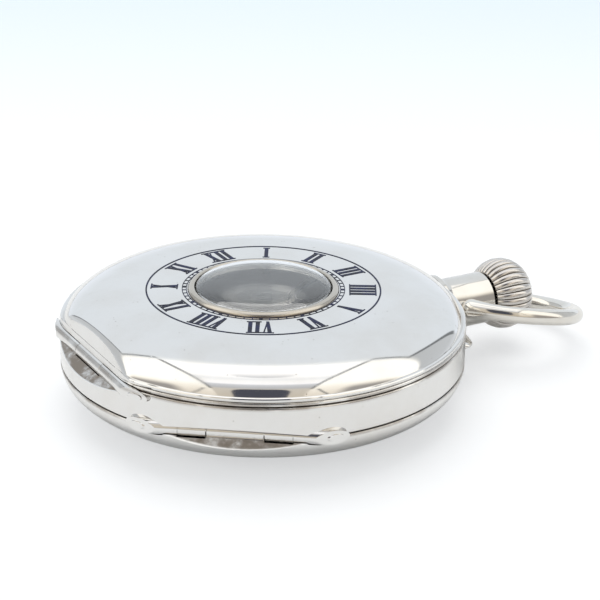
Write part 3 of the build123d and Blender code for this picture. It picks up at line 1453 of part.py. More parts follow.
def hand(length, angle, low, thickness, blade_share, root_half, blade_half, tail, at=(0, 0)):
    """a spade style hand from its centre, pointing at an angle"""
    outline = [
        (-tail, -root_half), (length * blade_share * hand_waist_share, -root_half),
        (length * blade_share, -blade_half),
        (length, -hand_tip_half), (length, hand_tip_half), (length * blade_share, blade_half),
        (length * blade_share * hand_waist_share, root_half), (-tail, root_half),
    ]
    with BuildSketch(Plane.XY.offset(low), mode=Mode.PRIVATE) as face:
        with Locations(Location((*at, 0), (0, 0, angle))):
            Polygon(*outline, align=None)
    extrude(face.sketch, amount=thickness)


with BuildPart() as hour_hand:
    disc(hand_boss_radius, hour_hand_low, hour_hand_low + hand_thickness)
    hand(hour_hand_length, hour_hand_angle, hour_hand_low, hand_thickness, hand_blade_share, hand_root_half,
         hand_blade_half, 0)
    disc(hour_pipe_radius, hour_hand_low - overrun, hour_hand_low + overrun, mode=Mode.SUBTRACT)
keep(hour_hand, "hour_hand")

with BuildPart() as minute_hand:
    disc(hand_boss_radius - hand_root_half, minute_hand_low, minute_hand_low + hand_thickness)
    hand(minute_hand_length, minute_hand_angle, minute_hand_low, hand_thickness, hand_blade_share,
         minute_root_half, minute_blade_half, 0)
    disc(cannon_pipe_radius, minute_hand_low - overrun, minute_hand_low + overrun, mode=Mode.SUBTRACT)
keep(minute_hand, "minute_hand")

with BuildPart() as seconds_hand:
    disc(seconds_boss_radius, seconds_hand_low, seconds_hand_low + seconds_hand_thickness, fourth_place)
    hand(seconds_hand_length, 90, seconds_hand_low, seconds_hand_thickness, hand_blade_share, hand_tip_half,
         hand_tip_half, seconds_tail_length, fourth_place)
    disc(seconds_arbor_radius, seconds_hand_low - overrun, seconds_hand_low + overrun, fourth_place,
         Mode.SUBTRACT)
keep(seconds_hand, "seconds_hand")

# Inner bezel and crystal, lid springs
with BuildPart() as inner_bezel:
    with BuildSketch(Plane.XZ):
        with BuildLine():
            Polyline(
                (bezel_inner, dial_top), (bezel_spigot_inner, dial_top), (bezel_spigot_inner, bezel_spigot_low),
                (bezel_spigot_outer, bezel_spigot_low), (bezel_spigot_outer, band_top), (bezel_outer, band_top),
                (bezel_outer, crystal_edge_low), (bezel_outer - crystal_wall, bezel_top),
                (crystal_radius + seat_gap, bezel_top),
                (crystal_radius + seat_gap, crystal_edge_low - seat_gap),
                (bezel_inner, crystal_edge_low - seat_gap), close=True,
            )
        make_face()
    revolve(axis=Axis.Z)
keep(inner_bezel, "inner_bezel")

with BuildPart() as inner_crystal:
    dome(crystal_radius, crystal_edge_low, crystal_crown, crystal_wall)
keep(inner_crystal, "inner_crystal")

with BuildPart() as lid_catch_spring:
    arc_bar(catch_spring_outer, catch_spring_inner, *catch_spring_angles, spring_low, spring_high)
    arc_bar(catch_nose_outer, catch_nose_inner, -catch_nose_angle, catch_nose_angle, spring_high,
            catch_nose_high)
keep(lid_catch_spring, "lid_catch_spring")

with BuildPart() as lid_lift_spring:
    arc_bar(lift_spring_outer, catch_spring_inner, *lift_spring_angles, spring_low, spring_high)
keep(lid_lift_spring, "lid_lift_spring")
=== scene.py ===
"""Looks of a half hunter pocket watch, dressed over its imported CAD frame.

Everything is in metres in the frame of the CAD: +Z up through the dial, +X out through
the pendant and +Y towards twelve o'clock. Sizes in the classes are millimetres.
"""

import json
import logging
import math
from contextlib import contextmanager
from dataclasses import dataclass
from enum import Enum
from functools import cache
from typing import Callable, Iterator, Sequence

import bmesh
import bpy
import numpy as np
from mathutils import Matrix, Vector


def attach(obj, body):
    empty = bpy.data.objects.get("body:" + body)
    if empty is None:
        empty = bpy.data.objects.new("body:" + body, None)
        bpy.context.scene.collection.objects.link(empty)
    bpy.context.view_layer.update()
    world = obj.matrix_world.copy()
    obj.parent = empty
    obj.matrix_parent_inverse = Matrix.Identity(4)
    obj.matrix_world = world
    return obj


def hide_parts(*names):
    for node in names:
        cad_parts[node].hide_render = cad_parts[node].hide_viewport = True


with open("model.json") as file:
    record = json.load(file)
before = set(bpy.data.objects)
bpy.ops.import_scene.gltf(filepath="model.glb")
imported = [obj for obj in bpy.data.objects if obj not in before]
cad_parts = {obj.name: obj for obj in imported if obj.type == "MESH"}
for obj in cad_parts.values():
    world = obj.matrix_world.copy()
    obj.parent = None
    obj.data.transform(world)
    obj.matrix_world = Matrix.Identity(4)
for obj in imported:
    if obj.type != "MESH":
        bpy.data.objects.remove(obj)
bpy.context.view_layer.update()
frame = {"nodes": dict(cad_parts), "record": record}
LOG = logging.getLogger("half_hunter")
MM = 0.001
TURN = 2 * math.pi
FINE = 24.0
BLUNT = 50.0
WELD = 2e-7
CUT_WELD = 1e-7
SPECK = 1e-8
Rgb = tuple[float, float, float]
Plane = tuple[float, float]
Socket = bpy.types.NodeSocket


class Body(str, Enum):
    """The rigid bodies that the new pieces ride on."""

    CASE = "case"
    LID = "lid"
    BACK = "back"
    BOW = "bow"
    CROWN = "crown"


# Curves


def clamped_spline(points: Sequence[Plane], start: Plane, end: Plane, count: int) -> np.ndarray:
    """Smooth curve through plane points with set end directions.

    The curve is the cubic spline over chord length whose first derivatives at its
    ends are the given directions, made of unit length.

    Args:
        points: the points it passes through.
        start: direction at the first point.
        end: direction at the last point.
        count: how many points to return.

    Returns:
        An array of count by 2 points.
    """
    knots = np.asarray(points, float)
    chords = np.linalg.norm(np.diff(knots, axis=0), axis=1)
    place = np.concatenate([[0.0], np.cumsum(chords)])
    size = len(knots)
    system = np.zeros((size, size))
    target = np.zeros((size, 2))
    system[0, 0] = system[-1, -1] = 1.0
    target[0] = np.asarray(start) / np.hypot(*start)
    target[-1] = np.asarray(end) / np.hypot(*end)
    inner = np.arange(1, size - 1)
    before, after = chords[inner - 1], chords[inner]
    system[inner, inner - 1] = after
    system[inner, inner] = 2 * (before + after)
    system[inner, inner + 1] = before
    slopes = np.diff(knots, axis=0) / chords[:, None]
    target[inner] = 3 * (after[:, None] * slopes[inner - 1] + before[:, None] * slopes[inner])
    tangents = np.linalg.solve(system, target)
    at = np.linspace(0.0, place[-1], count)
    span = np.clip(np.searchsorted(place, at, side="right") - 1, 0, size - 2)
    step = chords[span][:, None]
    t = ((at - place[span]) / chords[span])[:, None]
    return ((2 * t**3 - 3 * t**2 + 1) * knots[span] + (t**3 - 2 * t**2 + t) * step * tangents[span]
            + (3 * t**2 - 2 * t**3) * knots[span + 1] + (t**3 - t**2) * step * tangents[span + 1])


def three_point_arc(first: Plane, middle: Plane, last: Plane, count: int) -> np.ndarray:
    """Circular arc through three plane points, from the circle round their triangle.

    Args:
        first: where it starts.
        middle: a point on the way.
        last: where it ends.
        count: how many points to return.

    Returns:
        An array of count by 2 points.
    """
    a, b, c = (np.asarray(p, float) for p in (first, middle, last))
    rows = 2 * np.array([b - a, c - a])
    centre = np.linalg.solve(rows, [b @ b - a @ a, c @ c - a @ a])
    angles = [math.atan2(*(p - centre)[::-1]) for p in (a, b, c)]
    forward = (angles[2] - angles[0]) % TURN
    passes = (angles[1] - angles[0]) % TURN < forward
    sweep = forward if passes else forward - TURN
    at = angles[0] + sweep * np.linspace(0, 1, count)
    return centre + np.linalg.norm(a - centre) * np.stack([np.cos(at), np.sin(at)], -1)


def rounded_outline(corners: Sequence[Plane], radius: float, steps: int = 5) -> np.ndarray:
    """Closed plane outline with each corner rounded off.

    Each corner is a quadratic Bezier curve between points at the radius along its
    two sides.

    Args:
        corners: the sharp corners in order.
        radius: distance from a corner at which its rounding starts.
        steps: points on each rounding.

    Returns:
        The outline's points.
    """
    here = np.asarray(corners, float)
    back, on = np.roll(here, 1, axis=0) - here, np.roll(here, -1, axis=0) - here
    reach_back = np.minimum(radius, 0.45 * np.linalg.norm(back, axis=1))[:, None]
    reach_on = np.minimum(radius, 0.45 * np.linalg.norm(on, axis=1))[:, None]
    start = here + back / np.linalg.norm(back, axis=1)[:, None] * reach_back
    end = here + on / np.linalg.norm(on, axis=1)[:, None] * reach_on
    t = np.linspace(0, 1, steps)[None, :, None]
    curve = (1 - t)**2 * start[:, None] + 2 * t * (1 - t) * here[:, None] + t**2 * end[:, None]
    return curve.reshape(-1, 2)


# Meshes


def grid_faces(rows: int, columns: int, wrap_rows: bool, wrap_columns: bool) -> np.ndarray:
    """Corner numbers of the quads of a grid of points.

    Args:
        rows: points along the first parameter.
        columns: points along the second parameter.
        wrap_rows: whether the last row joins the first.
        wrap_columns: whether the last column joins the first.

    Returns:
        An array of four corner numbers for each quad.
    """
    r = np.arange(rows if wrap_rows else rows - 1)
    c = np.arange(columns if wrap_columns else columns - 1)
    i, j = (a.ravel() for a in np.meshgrid(r, c, indexing="ij"))
    below, beside = (i + 1) % rows, (j + 1) % columns
    return np.stack([i * columns + j, i * columns + beside, below * columns + beside,
                     below * columns + j], -1)


@contextmanager
def editing(mesh: bpy.types.Mesh) -> Iterator[bmesh.types.BMesh]:
    """Opens a mesh for editing, and writes it back afterwards."""
    work = bmesh.new()
    work.from_mesh(mesh)
    yield work
    work.to_mesh(mesh)
    work.free()


def linked(name: str, data: bpy.types.ID) -> bpy.types.Object:
    """New object in the scene for a mesh, a lamp or a camera."""
    made = bpy.data.objects.new(name, data)
    bpy.context.scene.collection.objects.link(made)
    return made


def smooth(mesh: bpy.types.Mesh, sharp: float) -> None:
    """Shades a mesh smooth, except at edges above an angle in degrees."""
    mesh.shade_smooth()
    mesh.set_sharp_from_angle(angle=math.radians(sharp))


def mesh_object(name: str, points: np.ndarray, faces: np.ndarray, sharp: float = 30.0) -> bpy.types.Object:
    """Object from points in millimetres and quads, with closed poles and outward faces.

    Args:
        name: the object's name.
        points: an array of points.
        faces: an array of four corner numbers for each quad.
        sharp: angle in degrees above which an edge stays sharp.

    Returns:
        The linked object, which sits at the origin.
    """
    mesh = bpy.data.meshes.new(name)
    mesh.vertices.add(len(points))
    mesh.vertices.foreach_set("co", (np.asarray(points, float) * MM).astype(np.float32).ravel())
    mesh.loops.add(faces.size)
    mesh.loops.foreach_set("vertex_index", faces.astype(np.int32).ravel())
    mesh.polygons.add(len(faces))
    mesh.polygons.foreach_set("loop_start", np.arange(0, faces.size, 4, dtype=np.int32))
    mesh.update(calc_edges=True)
    with editing(mesh) as work:
        bmesh.ops.remove_doubles(work, verts=work.verts, dist=WELD)
        bmesh.ops.dissolve_degenerate(work, edges=work.edges, dist=SPECK)
        bmesh.ops.recalc_face_normals(work, faces=work.faces)
    mesh.validate()
    smooth(mesh, sharp)
    return linked(name, mesh)


def revolve(name: str, outline: np.ndarray, segments: int, closed: bool = True,
            sharp: float = 30.0) -> bpy.types.Object:
    """Turned piece on the case axis.

    Each outline point (r, z) goes round the circle (r cos a, r sin a, z).

    Args:
        name: the object's name.
        outline: the section's points, each a radius and a height.
        segments: steps round the axis.
        closed: whether the outline's end joins its start.
        sharp: angle above which an edge stays sharp.

    Returns:
        The finished object.
    """
    a = np.arange(segments) * TURN / segments
    r, z = outline[:, 0:1], outline[:, 1:2]
    points = np.stack([r * np.cos(a), r * np.sin(a), z + 0 * a], -1).reshape(-1, 3)
    return mesh_object(name, points, grid_faces(len(outline), segments, closed, True), sharp)


def turned_on_stem(name: str, outline: np.ndarray, segments: int, height: float,
                   swell: Callable[[np.ndarray, np.ndarray], np.ndarray] | None = None,
                   sharp: float = 30.0) -> bpy.types.Object:
    """Turned piece on the stem axis, with an optional pattern of ridges.

    A point (along, out) goes round the circle of radius out plus swell(along, angle).

    Args:
        name: the object's name.
        outline: the section's points, each a place along the stem and a radius.
        segments: steps round the axis.
        height: the stem's height.
        swell: radius to add at (outline point index, angle).
        sharp: angle above which an edge stays sharp.

    Returns:
        The finished object.
    """
    a = np.arange(segments) * TURN / segments
    along, out = outline[:, 0:1], outline[:, 1:2]
    if swell is not None:
        out = out + swell(np.arange(len(outline))[:, None], a[None, :])
    points = np.stack([along + 0 * a, out * np.cos(a), out * np.sin(a) + height], -1).reshape(-1, 3)
    return mesh_object(name, points, grid_faces(len(outline), segments, False, True), sharp)


def tube(name: str, path: np.ndarray, radii: np.ndarray, sides: int, up: Sequence[float],
         caps: int = 0) -> bpy.types.Object:
    """Round wire along a path, open at its ends unless it has caps.

    Its rings stand square to the path, on axes made from the path's direction and
    one fixed side direction. With caps, each end is a half ball of that many rings.

    Args:
        name: the object's name.
        path: the path's points.
        radii: the wire's radius at each point.
        sides: steps round the wire.
        up: a direction that the path never runs along.
        caps: rings in each rounded end.

    Returns:
        The finished object.
    """
    tangent = np.gradient(path, axis=0)
    tangent /= np.linalg.norm(tangent, axis=1)[:, None]
    if caps:
        bend = np.linspace(0, math.pi / 2, caps + 1)[:-1]
        start = path[0] - tangent[0] * radii[0] * np.cos(bend)[:, None]
        end = path[-1] + tangent[-1] * radii[-1] * np.cos(bend)[::-1, None]
        path = np.concatenate([start, path, end])
        tangent = np.concatenate([np.repeat(tangent[:1], caps, 0), tangent, np.repeat(tangent[-1:], caps, 0)])
        radii = np.concatenate([radii[0] * np.sin(bend), radii, radii[-1] * np.sin(bend)[::-1]])
    side = np.cross(tangent, np.asarray(up, float))
    side /= np.linalg.norm(side, axis=1)[:, None]
    over = np.cross(side, tangent)
    a = np.arange(sides) * TURN / sides
    rings = (path[:, None] + radii[:, None, None]
             * (side[:, None] * np.cos(a)[None, :, None] + over[:, None] * np.sin(a)[None, :, None]))
    return mesh_object(name, rings.reshape(-1, 3), grid_faces(len(path), sides, False, True), BLUNT)


def turned(points: np.ndarray, degrees: float) -> np.ndarray:
    """Points turned about the case axis."""
    a = math.radians(degrees)
    spin = np.array([[math.cos(a), -math.sin(a), 0], [math.sin(a), math.cos(a), 0], [0, 0, 1]])
    return points @ spin.T


def carve(piece: bpy.types.Object, tools: Sequence[bpy.types.Object], sharp: float = 30.0) -> None:
    """Takes cutting tools out of a piece, and keeps the result in its mesh.

    Args:
        piece: the piece that is cut.
        tools: the cutting tools, which are removed afterwards.
        sharp: angle above which an edge stays sharp.
    """
    for tool in tools:
        step = piece.modifiers.new("cut", "BOOLEAN")
        step.operation, step.object, step.solver = "DIFFERENCE", tool, "EXACT"
    bpy.context.view_layer.update()
    result = bpy.data.meshes.new_from_object(piece.evaluated_get(bpy.context.evaluated_depsgraph_get()))
    piece.modifiers.clear()
    piece.data = result
    for tool in tools:
        bpy.data.objects.remove(tool)
    with editing(result) as work:
        bmesh.ops.remove_doubles(work, verts=work.verts, dist=CUT_WELD)
    smooth(result, sharp)


@dataclass
class Hinge:
    """One case hinge: its side of the case, its axis, its tube and its cutting tools."""

    degrees: float
    height: float
    reach: float = 22.8
    tube: float = 0.9
    room: float = 1.0
    half: float = 14.9
    sides: int = 64
    rod_sides: int = 48
    rings: int = 30
    end_edge: float = 0.06
    knuckle_edge: float = 0.05

    def prism(self, outline: Sequence[Plane], start: float, end: float) -> bpy.types.Object:
        """Straight sided block along the hinge axis, used to cut.

        Args:
            outline: its section, each point a distance from the case axis and a height.
            start: where it starts along the hinge axis.
            end: where it ends.

        Returns:
            The block.
        """
        flat = np.asarray(outline, float)
        ends = [np.stack([flat[:, 0], np.full(len(flat), s), flat[:, 1]], -1) for s in (start, end)]
        points = turned(np.concatenate(ends), self.degrees) * MM
        count = len(flat)
        caps = [list(range(count)), list(range(2 * count - 1, count - 1, -1))]
        faces = [[i, (i + 1) % count, count + (i + 1) % count, count + i] for i in range(count)]
        mesh = bpy.data.meshes.new("tool")
        mesh.from_pydata(points.tolist(), [], caps + faces)
        with editing(mesh) as work:
            bmesh.ops.recalc_face_normals(work, faces=work.faces)
        return linked("tool", mesh)

    def rod(self, start: float, end: float) -> bpy.types.Object:
        """Round rod along the hinge axis with room for the tube, used to cut."""
        a = np.arange(self.rod_sides) * TURN / self.rod_sides
        ring = np.stack([self.reach + self.room * np.cos(a), self.height + self.room * np.sin(a)], -1)
        return self.prism(ring, start, end)

    def grooves(self, start: float) -> list[bpy.types.Object]:
        """Rods on both sides of the moving knuckle, with room for the fixed tubes."""
        return [self.rod(start, self.half), self.rod(-self.half, -start)]

    def fixed_tube(self, name: str, start: float, side: int, trim: float) -> bpy.types.Object:
        """Hinge tube whose outer end is filed flush with the case as a long teardrop.

        The wall runs along the hinge axis from its start to where it meets the cylinder
        of the trim radius about the case axis, and the end face lies on that cylinder:
        at (radius q, angle a) in the tube its place along the axis is
        sqrt(trim^2 - (reach + q cos a)^2).

        Args:
            name: the object's name.
            start: where it starts along the axis.
            side: 1 or -1, the end of the hinge.
            trim: radius of the trimming cylinder.

        Returns:
            The finished tube.
        """
        first, last = 4, 12
        a = np.arange(self.sides) * TURN / self.sides
        q = np.concatenate([np.linspace(0, 1, first)[:, None], np.ones((self.rings, 1)),
                            np.linspace(1, 0, last)[1:, None]])
        q = q * self.tube
        along = np.concatenate([np.zeros((first, 1)), np.linspace(0, 1, self.rings)[:, None],
                                np.ones((last - 1, 1))])
        out = self.reach + q * np.cos(a)
        end = np.sqrt(trim**2 - out**2)
        soften = np.zeros((len(q), 1))
        soften[first + self.rings - 1] = self.end_edge
        s = start + (end - soften - start) * along
        points = np.stack([out, side * s, self.height + q * np.sin(a)], -1).reshape(-1, 3)
        faces = grid_faces(len(q), self.sides, False, True)
        return mesh_object(name, turned(points, self.degrees), faces, 40.0)

    def knuckle(self, name: str, half: float) -> bpy.types.Object:
        """Moving hinge knuckle, a short tube about the middle of the hinge."""
        a = np.arange(self.sides) * TURN / self.sides
        edge = self.knuckle_edge
        q = np.array([0, self.tube - edge, self.tube, self.tube, self.tube - edge, 0])[:, None]
        s = np.array([-half, -half, -half + edge, half - edge, half, half])[:, None]
        points = np.stack([self.reach + q * np.cos(a), s + 0 * a, self.height + q * np.sin(a)], -1)
        return mesh_object(name, turned(points.reshape(-1, 3), self.degrees),
                           grid_faces(len(q), self.sides, False, True), 30.0)


LID_HINGE = Hinge(180.0, 9.35)
BACK_HINGE = Hinge(-126.0, 5.9)


# Shader groups


class Graph:
    """Small helper that adds and links shader nodes in one tree."""

    def __init__(self, tree: bpy.types.NodeTree) -> None:
        """Keeps the tree."""
        self.tree = tree

    def add(self, kind: str, inputs: dict | None = None, **settings: object) -> bpy.types.Node:
        """Adds a node, sets its properties and fills its inputs.

        Args:
            kind: the node's type name without its ShaderNode prefix.
            inputs: input name or number to a value or to the socket that feeds it.
            settings: the node's own properties.

        Returns:
            The new node.
        """
        node = self.tree.nodes.new("ShaderNode" + kind)
        for key, value in settings.items():
            setattr(node, key, value)
        self.fill(node, inputs or {})
        return node

    def fill(self, node: bpy.types.Node, inputs: dict) -> None:
        """Sets or links a node's inputs, each given a value or the socket that feeds it."""
        for key, value in inputs.items():
            if isinstance(value, Socket):
                self.tree.links.new(value, node.inputs[key])
            else:
                node.inputs[key].default_value = value

    def group(self, build: Callable[[], bpy.types.NodeTree], inputs: dict) -> bpy.types.Node:
        """Puts a shared group into this tree with its own values."""
        node = self.tree.nodes.new("ShaderNodeGroup")
        node.node_tree = build()
        self.fill(node, inputs)
        return node

    def math(self, operation: str, first: object, second: object = 0.0, clamp: bool = False) -> Socket:
        """Adds a Math node and returns its output."""
        return self.add("Math", {0: first, 1: second}, operation=operation, use_clamp=clamp).outputs[0]

    def plus(self, first: object, second: object, clamp: bool = False) -> Socket:
        """Sum of two values."""
        return self.math("ADD", first, second, clamp)

    def minus(self, first: object, second: object, clamp: bool = False) -> Socket:
        """Difference of two values."""
        return self.math("SUBTRACT", first, second, clamp)

    def times(self, first: object, second: object, clamp: bool = False) -> Socket:
        """Product of two values."""
        return self.math("MULTIPLY", first, second, clamp)

    def larger(self, first: object, second: object) -> Socket:
        """The larger of two values."""
        return self.math("MAXIMUM", first, second)

    def ramp(self, value: object, low: float, high: float) -> Socket:
        """Smooth step of a value from 0 at low to 1 at high."""
        node = self.add("MapRange", {"Value": value, "From Min": low, "From Max": high},
                        interpolation_type="SMOOTHSTEP")
        return node.outputs["Result"]

    def noise(self, vector: object, scale: float, detail: float = 3.0, rough: float = 0.5) -> Socket:
        """Adds fractal noise and returns its value."""
        return self.add("TexNoise", {"Vector": vector, "Scale": scale, "Detail": detail,
                                     "Roughness": rough}).outputs["Fac"]

    def mix(self, share: object, first: object, second: object) -> Socket:
        """Mixes two colours and returns the result."""
        node = self.add("Mix", {"Factor": share}, data_type="RGBA")
        for slot, value in (("A", first), ("B", second)):
            socket = [s for s in node.inputs if s.name == slot and s.type == "RGBA"][0]
            if isinstance(value, Socket):
                self.tree.links.new(value, socket)
            else:
                socket.default_value = value
        return [s for s in node.outputs if s.type == "RGBA"][0]


def new_group(name: str, inputs: dict[str, tuple[str, object]], outputs: dict[str, str]) -> tuple[
        bpy.types.NodeTree, Graph, bpy.types.Node, bpy.types.Node]:
    """Empty shader group with named inputs and outputs.

    Args:
        name: the group's name.
        inputs: input name to its socket type and value.
        outputs: output name to its socket type.

    Returns:
        The tree, its helper, its input node and its output node.
    """
    tree = bpy.data.node_groups.new(name, "ShaderNodeTree")
    for key, (kind, value) in inputs.items():
        socket = tree.interface.new_socket(key, in_out="INPUT", socket_type=kind)
        if value is not None:
            socket.default_value = value
    for key, kind in outputs.items():
        tree.interface.new_socket(key, in_out="OUTPUT", socket_type=kind)
    return tree, Graph(tree), tree.nodes.new("NodeGroupInput"), tree.nodes.new("NodeGroupOutput")


HAIRLINE_TURNS = ((0.35, 0.2), (1.45, -0.4), (2.5, 0.6))
HAIRLINE_SCALE = (90.0, 2600.0, 900.0)
HAIRLINE_STEP = (0.66, 0.74)
PATCH_SCALE, PATCH_MORE, PATCH_STEP = 260.0, 90.0, (0.45, 0.62)
PIT_SCALE, PIT_STEP, PIT_PATCH_SCALE, PIT_PATCH_STEP = 1700.0, (0.10, 0.22), 520.0, (0.62, 0.70)
SMEAR_SCALE, SMEAR_STEP = 130.0, (0.35, 0.7)
BUMP_DEPTH = 0.00002


@cache
def handling_marks() -> bpy.types.NodeTree:
    """Group of fine polishing hairlines, small pits and broad smears.

    Hairlines are noise squeezed hard along one direction in three different turns;
    pits are the smallest cells of a dot pattern; smears are broad soft noise.

    Returns:
        The group, with outputs Lines, Pits, Smears and Height.
    """
    tree, g, start, end = new_group(
        "handling_marks",
        {"Vector": ("NodeSocketVector", None), "Line Density": ("NodeSocketFloat", 1.0)},
        {"Lines": "NodeSocketFloat", "Pits": "NodeSocketFloat", "Smears": "NodeSocketFloat",
         "Height": "NodeSocketFloat"})
    vector = start.outputs["Vector"]
    lines = None
    for number, (turn, tilt) in enumerate(HAIRLINE_TURNS):
        place = g.add("Mapping", {"Vector": vector, "Rotation": (tilt, 0.3 * number, turn),
                                  "Scale": HAIRLINE_SCALE})
        one = g.ramp(g.noise(place.outputs[0], 1.0, 2.0), *HAIRLINE_STEP)
        patch = g.ramp(g.noise(vector, PATCH_SCALE + PATCH_MORE * number, 1.0), *PATCH_STEP)
        one = g.times(one, patch)
        lines = one if lines is None else g.larger(lines, one)
    lines = g.times(lines, start.outputs["Line Density"], True)
    dots = g.add("TexVoronoi", {"Vector": vector, "Scale": PIT_SCALE}).outputs["Distance"]
    rare = g.ramp(g.noise(vector, PIT_PATCH_SCALE, 1.0), *PIT_PATCH_STEP)
    pits = g.times(g.minus(1.0, g.ramp(dots, *PIT_STEP)), rare)
    smears = g.ramp(g.noise(vector, SMEAR_SCALE, 4.0, 0.6), *SMEAR_STEP)
    height = g.minus(0.0, g.plus(g.times(lines, 0.5), pits))
    for key, value in (("Lines", lines), ("Pits", pits), ("Smears", smears), ("Height", height)):
        tree.links.new(value, end.inputs[key])
    return tree


@cache
def seam_tarnish_and_shade() -> bpy.types.NodeTree:
    """Group of the brown tarnish and painted shade along one level of the case, such as a seam between parts.

    The mask is one on the chosen height, fades over the width to both sides, and is
    broken up by noise.

    Returns:
        The group, with output Mask.
    """
    tree, g, start, end = new_group(
        "seam_tarnish_and_shade",
        {"Vector": ("NodeSocketVector", None), "Level": ("NodeSocketFloat", 9.9),
         "Width": ("NodeSocketFloat", 0.3), "Breakup": ("NodeSocketFloat", 300.0)},
        {"Mask": "NodeSocketFloat"})
    height = g.add("SeparateXYZ", {0: start.outputs["Vector"]}).outputs["Z"]
    height = g.times(height, 1000.0)
    off = g.math("ABSOLUTE", g.minus(height, start.outputs["Level"]))
    near = g.minus(1.0, g.math("DIVIDE", off, start.outputs["Width"]), True)
    patch = g.add("TexNoise", {"Vector": start.outputs["Vector"], "Scale": start.outputs["Breakup"],
                               "Detail": 3.0}).outputs["Fac"]
    tree.links.new(g.times(near, g.ramp(patch, 0.32, 0.62)), end.inputs["Mask"])
    return tree


@cache
def inner_faces() -> bpy.types.NodeTree:
    """Group whose mask is one where a turned piece lies inside a radius from the case axis.

    Returns:
        The group, with output Mask.
    """
    tree, g, start, end = new_group(
        "inner_faces", {"Vector": ("NodeSocketVector", None), "Radius": ("NodeSocketFloat", 25.0)},
        {"Mask": "NodeSocketFloat"})
    parts = g.add("SeparateXYZ", {0: start.outputs["Vector"]})
    flat = g.add("CombineXYZ", {0: parts.outputs["X"], 1: parts.outputs["Y"]})
    reach = g.times(g.add("VectorMath", {0: flat.outputs[0]}, operation="LENGTH").outputs["Value"], 1000.0)
    inside = g.minus(start.outputs["Radius"], reach)
    tree.links.new(g.ramp(inside, 0.02, 0.12), end.inputs["Mask"])
    return tree


# Finishes


def shade(colour: Rgb) -> tuple[float, float, float, float]:
    """Colour with full opacity."""
    return (*colour, 1.0)


class Finish:
    """A finish that makes its material once."""

    name: str = "finish"
    cache: dict[object, bpy.types.Material] = {}

    def material(self) -> bpy.types.Material:
        """Returns this finish's material, made at its first use."""
        if self not in Finish.cache:
            made = bpy.data.materials.new(self.name)
            made.use_nodes = True
            made.node_tree.nodes.clear()
            g = Graph(made.node_tree)
            shader = g.add("BsdfPrincipled")
            out = g.add("OutputMaterial")
            made.node_tree.links.new(shader.outputs[0], out.inputs["Surface"])
            coords = g.add("TexCoord").outputs["Object"]
            self.dress(g, shader, coords)
            Finish.cache[self] = made
        return Finish.cache[self]

    def dress(self, g: Graph, shader: bpy.types.Node, coords: Socket) -> None:
        """Fills the shader in; each finish has its own."""
        raise NotImplementedError


@dataclass(frozen=True)
class Silver(Finish):
    """Old polished silver with hairlines, smears, and a brown of tarnish and painted shade in its seams."""

    name: str = "silver"
    bright: Rgb = (0.80, 0.79, 0.775)
    warm: Rgb = (0.66, 0.62, 0.565)
    dirt_and_shade: Rgb = (0.16, 0.115, 0.075)
    roughness: float = 0.085
    wear: float = 1.0
    level: float = 9.9
    width: float = 0.35
    seam_share: float = 0.55
    inner_radius: float = 0.0
    inner_share: float = 0.8
    inner_scale: float = 420.0
    inner_step: Plane = (0.25, 0.55)
    pit_share: float = 0.3
    film: float = 0.28
    line_rough: float = 0.10
    smear_rough: float = 0.05
    dirt_and_shade_rough: float = 0.35
    bump: float = 0.12

    def dress(self, g: Graph, shader: bpy.types.Node, coords: Socket) -> None:
        """Mixes clean silver, warm film, and a brown of tarnish and painted shade by the shared masks."""
        marks = g.group(handling_marks, {"Vector": coords, "Line Density": self.wear})
        seam = g.group(seam_tarnish_and_shade, {"Vector": coords, "Level": self.level, "Width": self.width})
        # dark brown mask: tarnish and painted shade at the seam level and on inner faces, plus real pits from
        # handling
        dirt_and_shade = g.times(seam.outputs["Mask"], self.seam_share)
        if self.inner_radius:
            inner = g.group(inner_faces, {"Vector": coords, "Radius": self.inner_radius})
            patch = g.ramp(g.noise(coords, self.inner_scale, 4.0, 0.65), *self.inner_step)
            share = g.times(g.times(inner.outputs["Mask"], patch), self.inner_share)
            dirt_and_shade = g.larger(dirt_and_shade, share)
        dirt_and_shade = g.larger(dirt_and_shade, g.times(marks.outputs["Pits"], self.pit_share))
        film = g.times(marks.outputs["Smears"], self.film)
        colour = g.mix(film, shade(self.bright), shade(self.warm))
        colour = g.mix(dirt_and_shade, colour, shade(self.dirt_and_shade))
        rough = g.plus(self.roughness, g.times(marks.outputs["Lines"], self.line_rough))
        rough = g.plus(rough, g.times(marks.outputs["Smears"], self.smear_rough))
        rough = g.plus(rough, g.times(dirt_and_shade, self.dirt_and_shade_rough), True)
        bump = g.add("Bump", {"Height": marks.outputs["Height"], "Strength": self.bump,
                              "Distance": BUMP_DEPTH})
        g.fill(shader, {"Base Color": colour, "Metallic": 1.0, "Roughness": rough,
                              "Normal": bump.outputs["Normal"]})


@dataclass(frozen=True)
class PlainMetal(Finish):
    """Inner metal with a fine grain and slight mottling."""

    name: str = "metal"
    colour: Rgb = (0.6, 0.6, 0.62)
    second: Rgb = (0.5, 0.5, 0.52)
    roughness: float = 0.25
    grain: float = 2200.0
    grain_depth: float = 0.15

    def dress(self, g: Graph, shader: bpy.types.Node, coords: Socket) -> None:
        """Mottles the colour and roughness with two noises."""
        broad = g.ramp(g.noise(coords, 320.0, 3.0), 0.3, 0.7)
        fine = g.noise(coords, self.grain, 2.0)
        rough = g.plus(self.roughness, g.times(fine, 0.12))
        bump = g.add("Bump", {"Height": fine, "Strength": self.grain_depth, "Distance": BUMP_DEPTH})
        g.fill(shader, {"Base Color": g.mix(broad, shade(self.colour), shade(self.second)),
                              "Metallic": 1.0, "Roughness": rough, "Normal": bump.outputs["Normal"]})


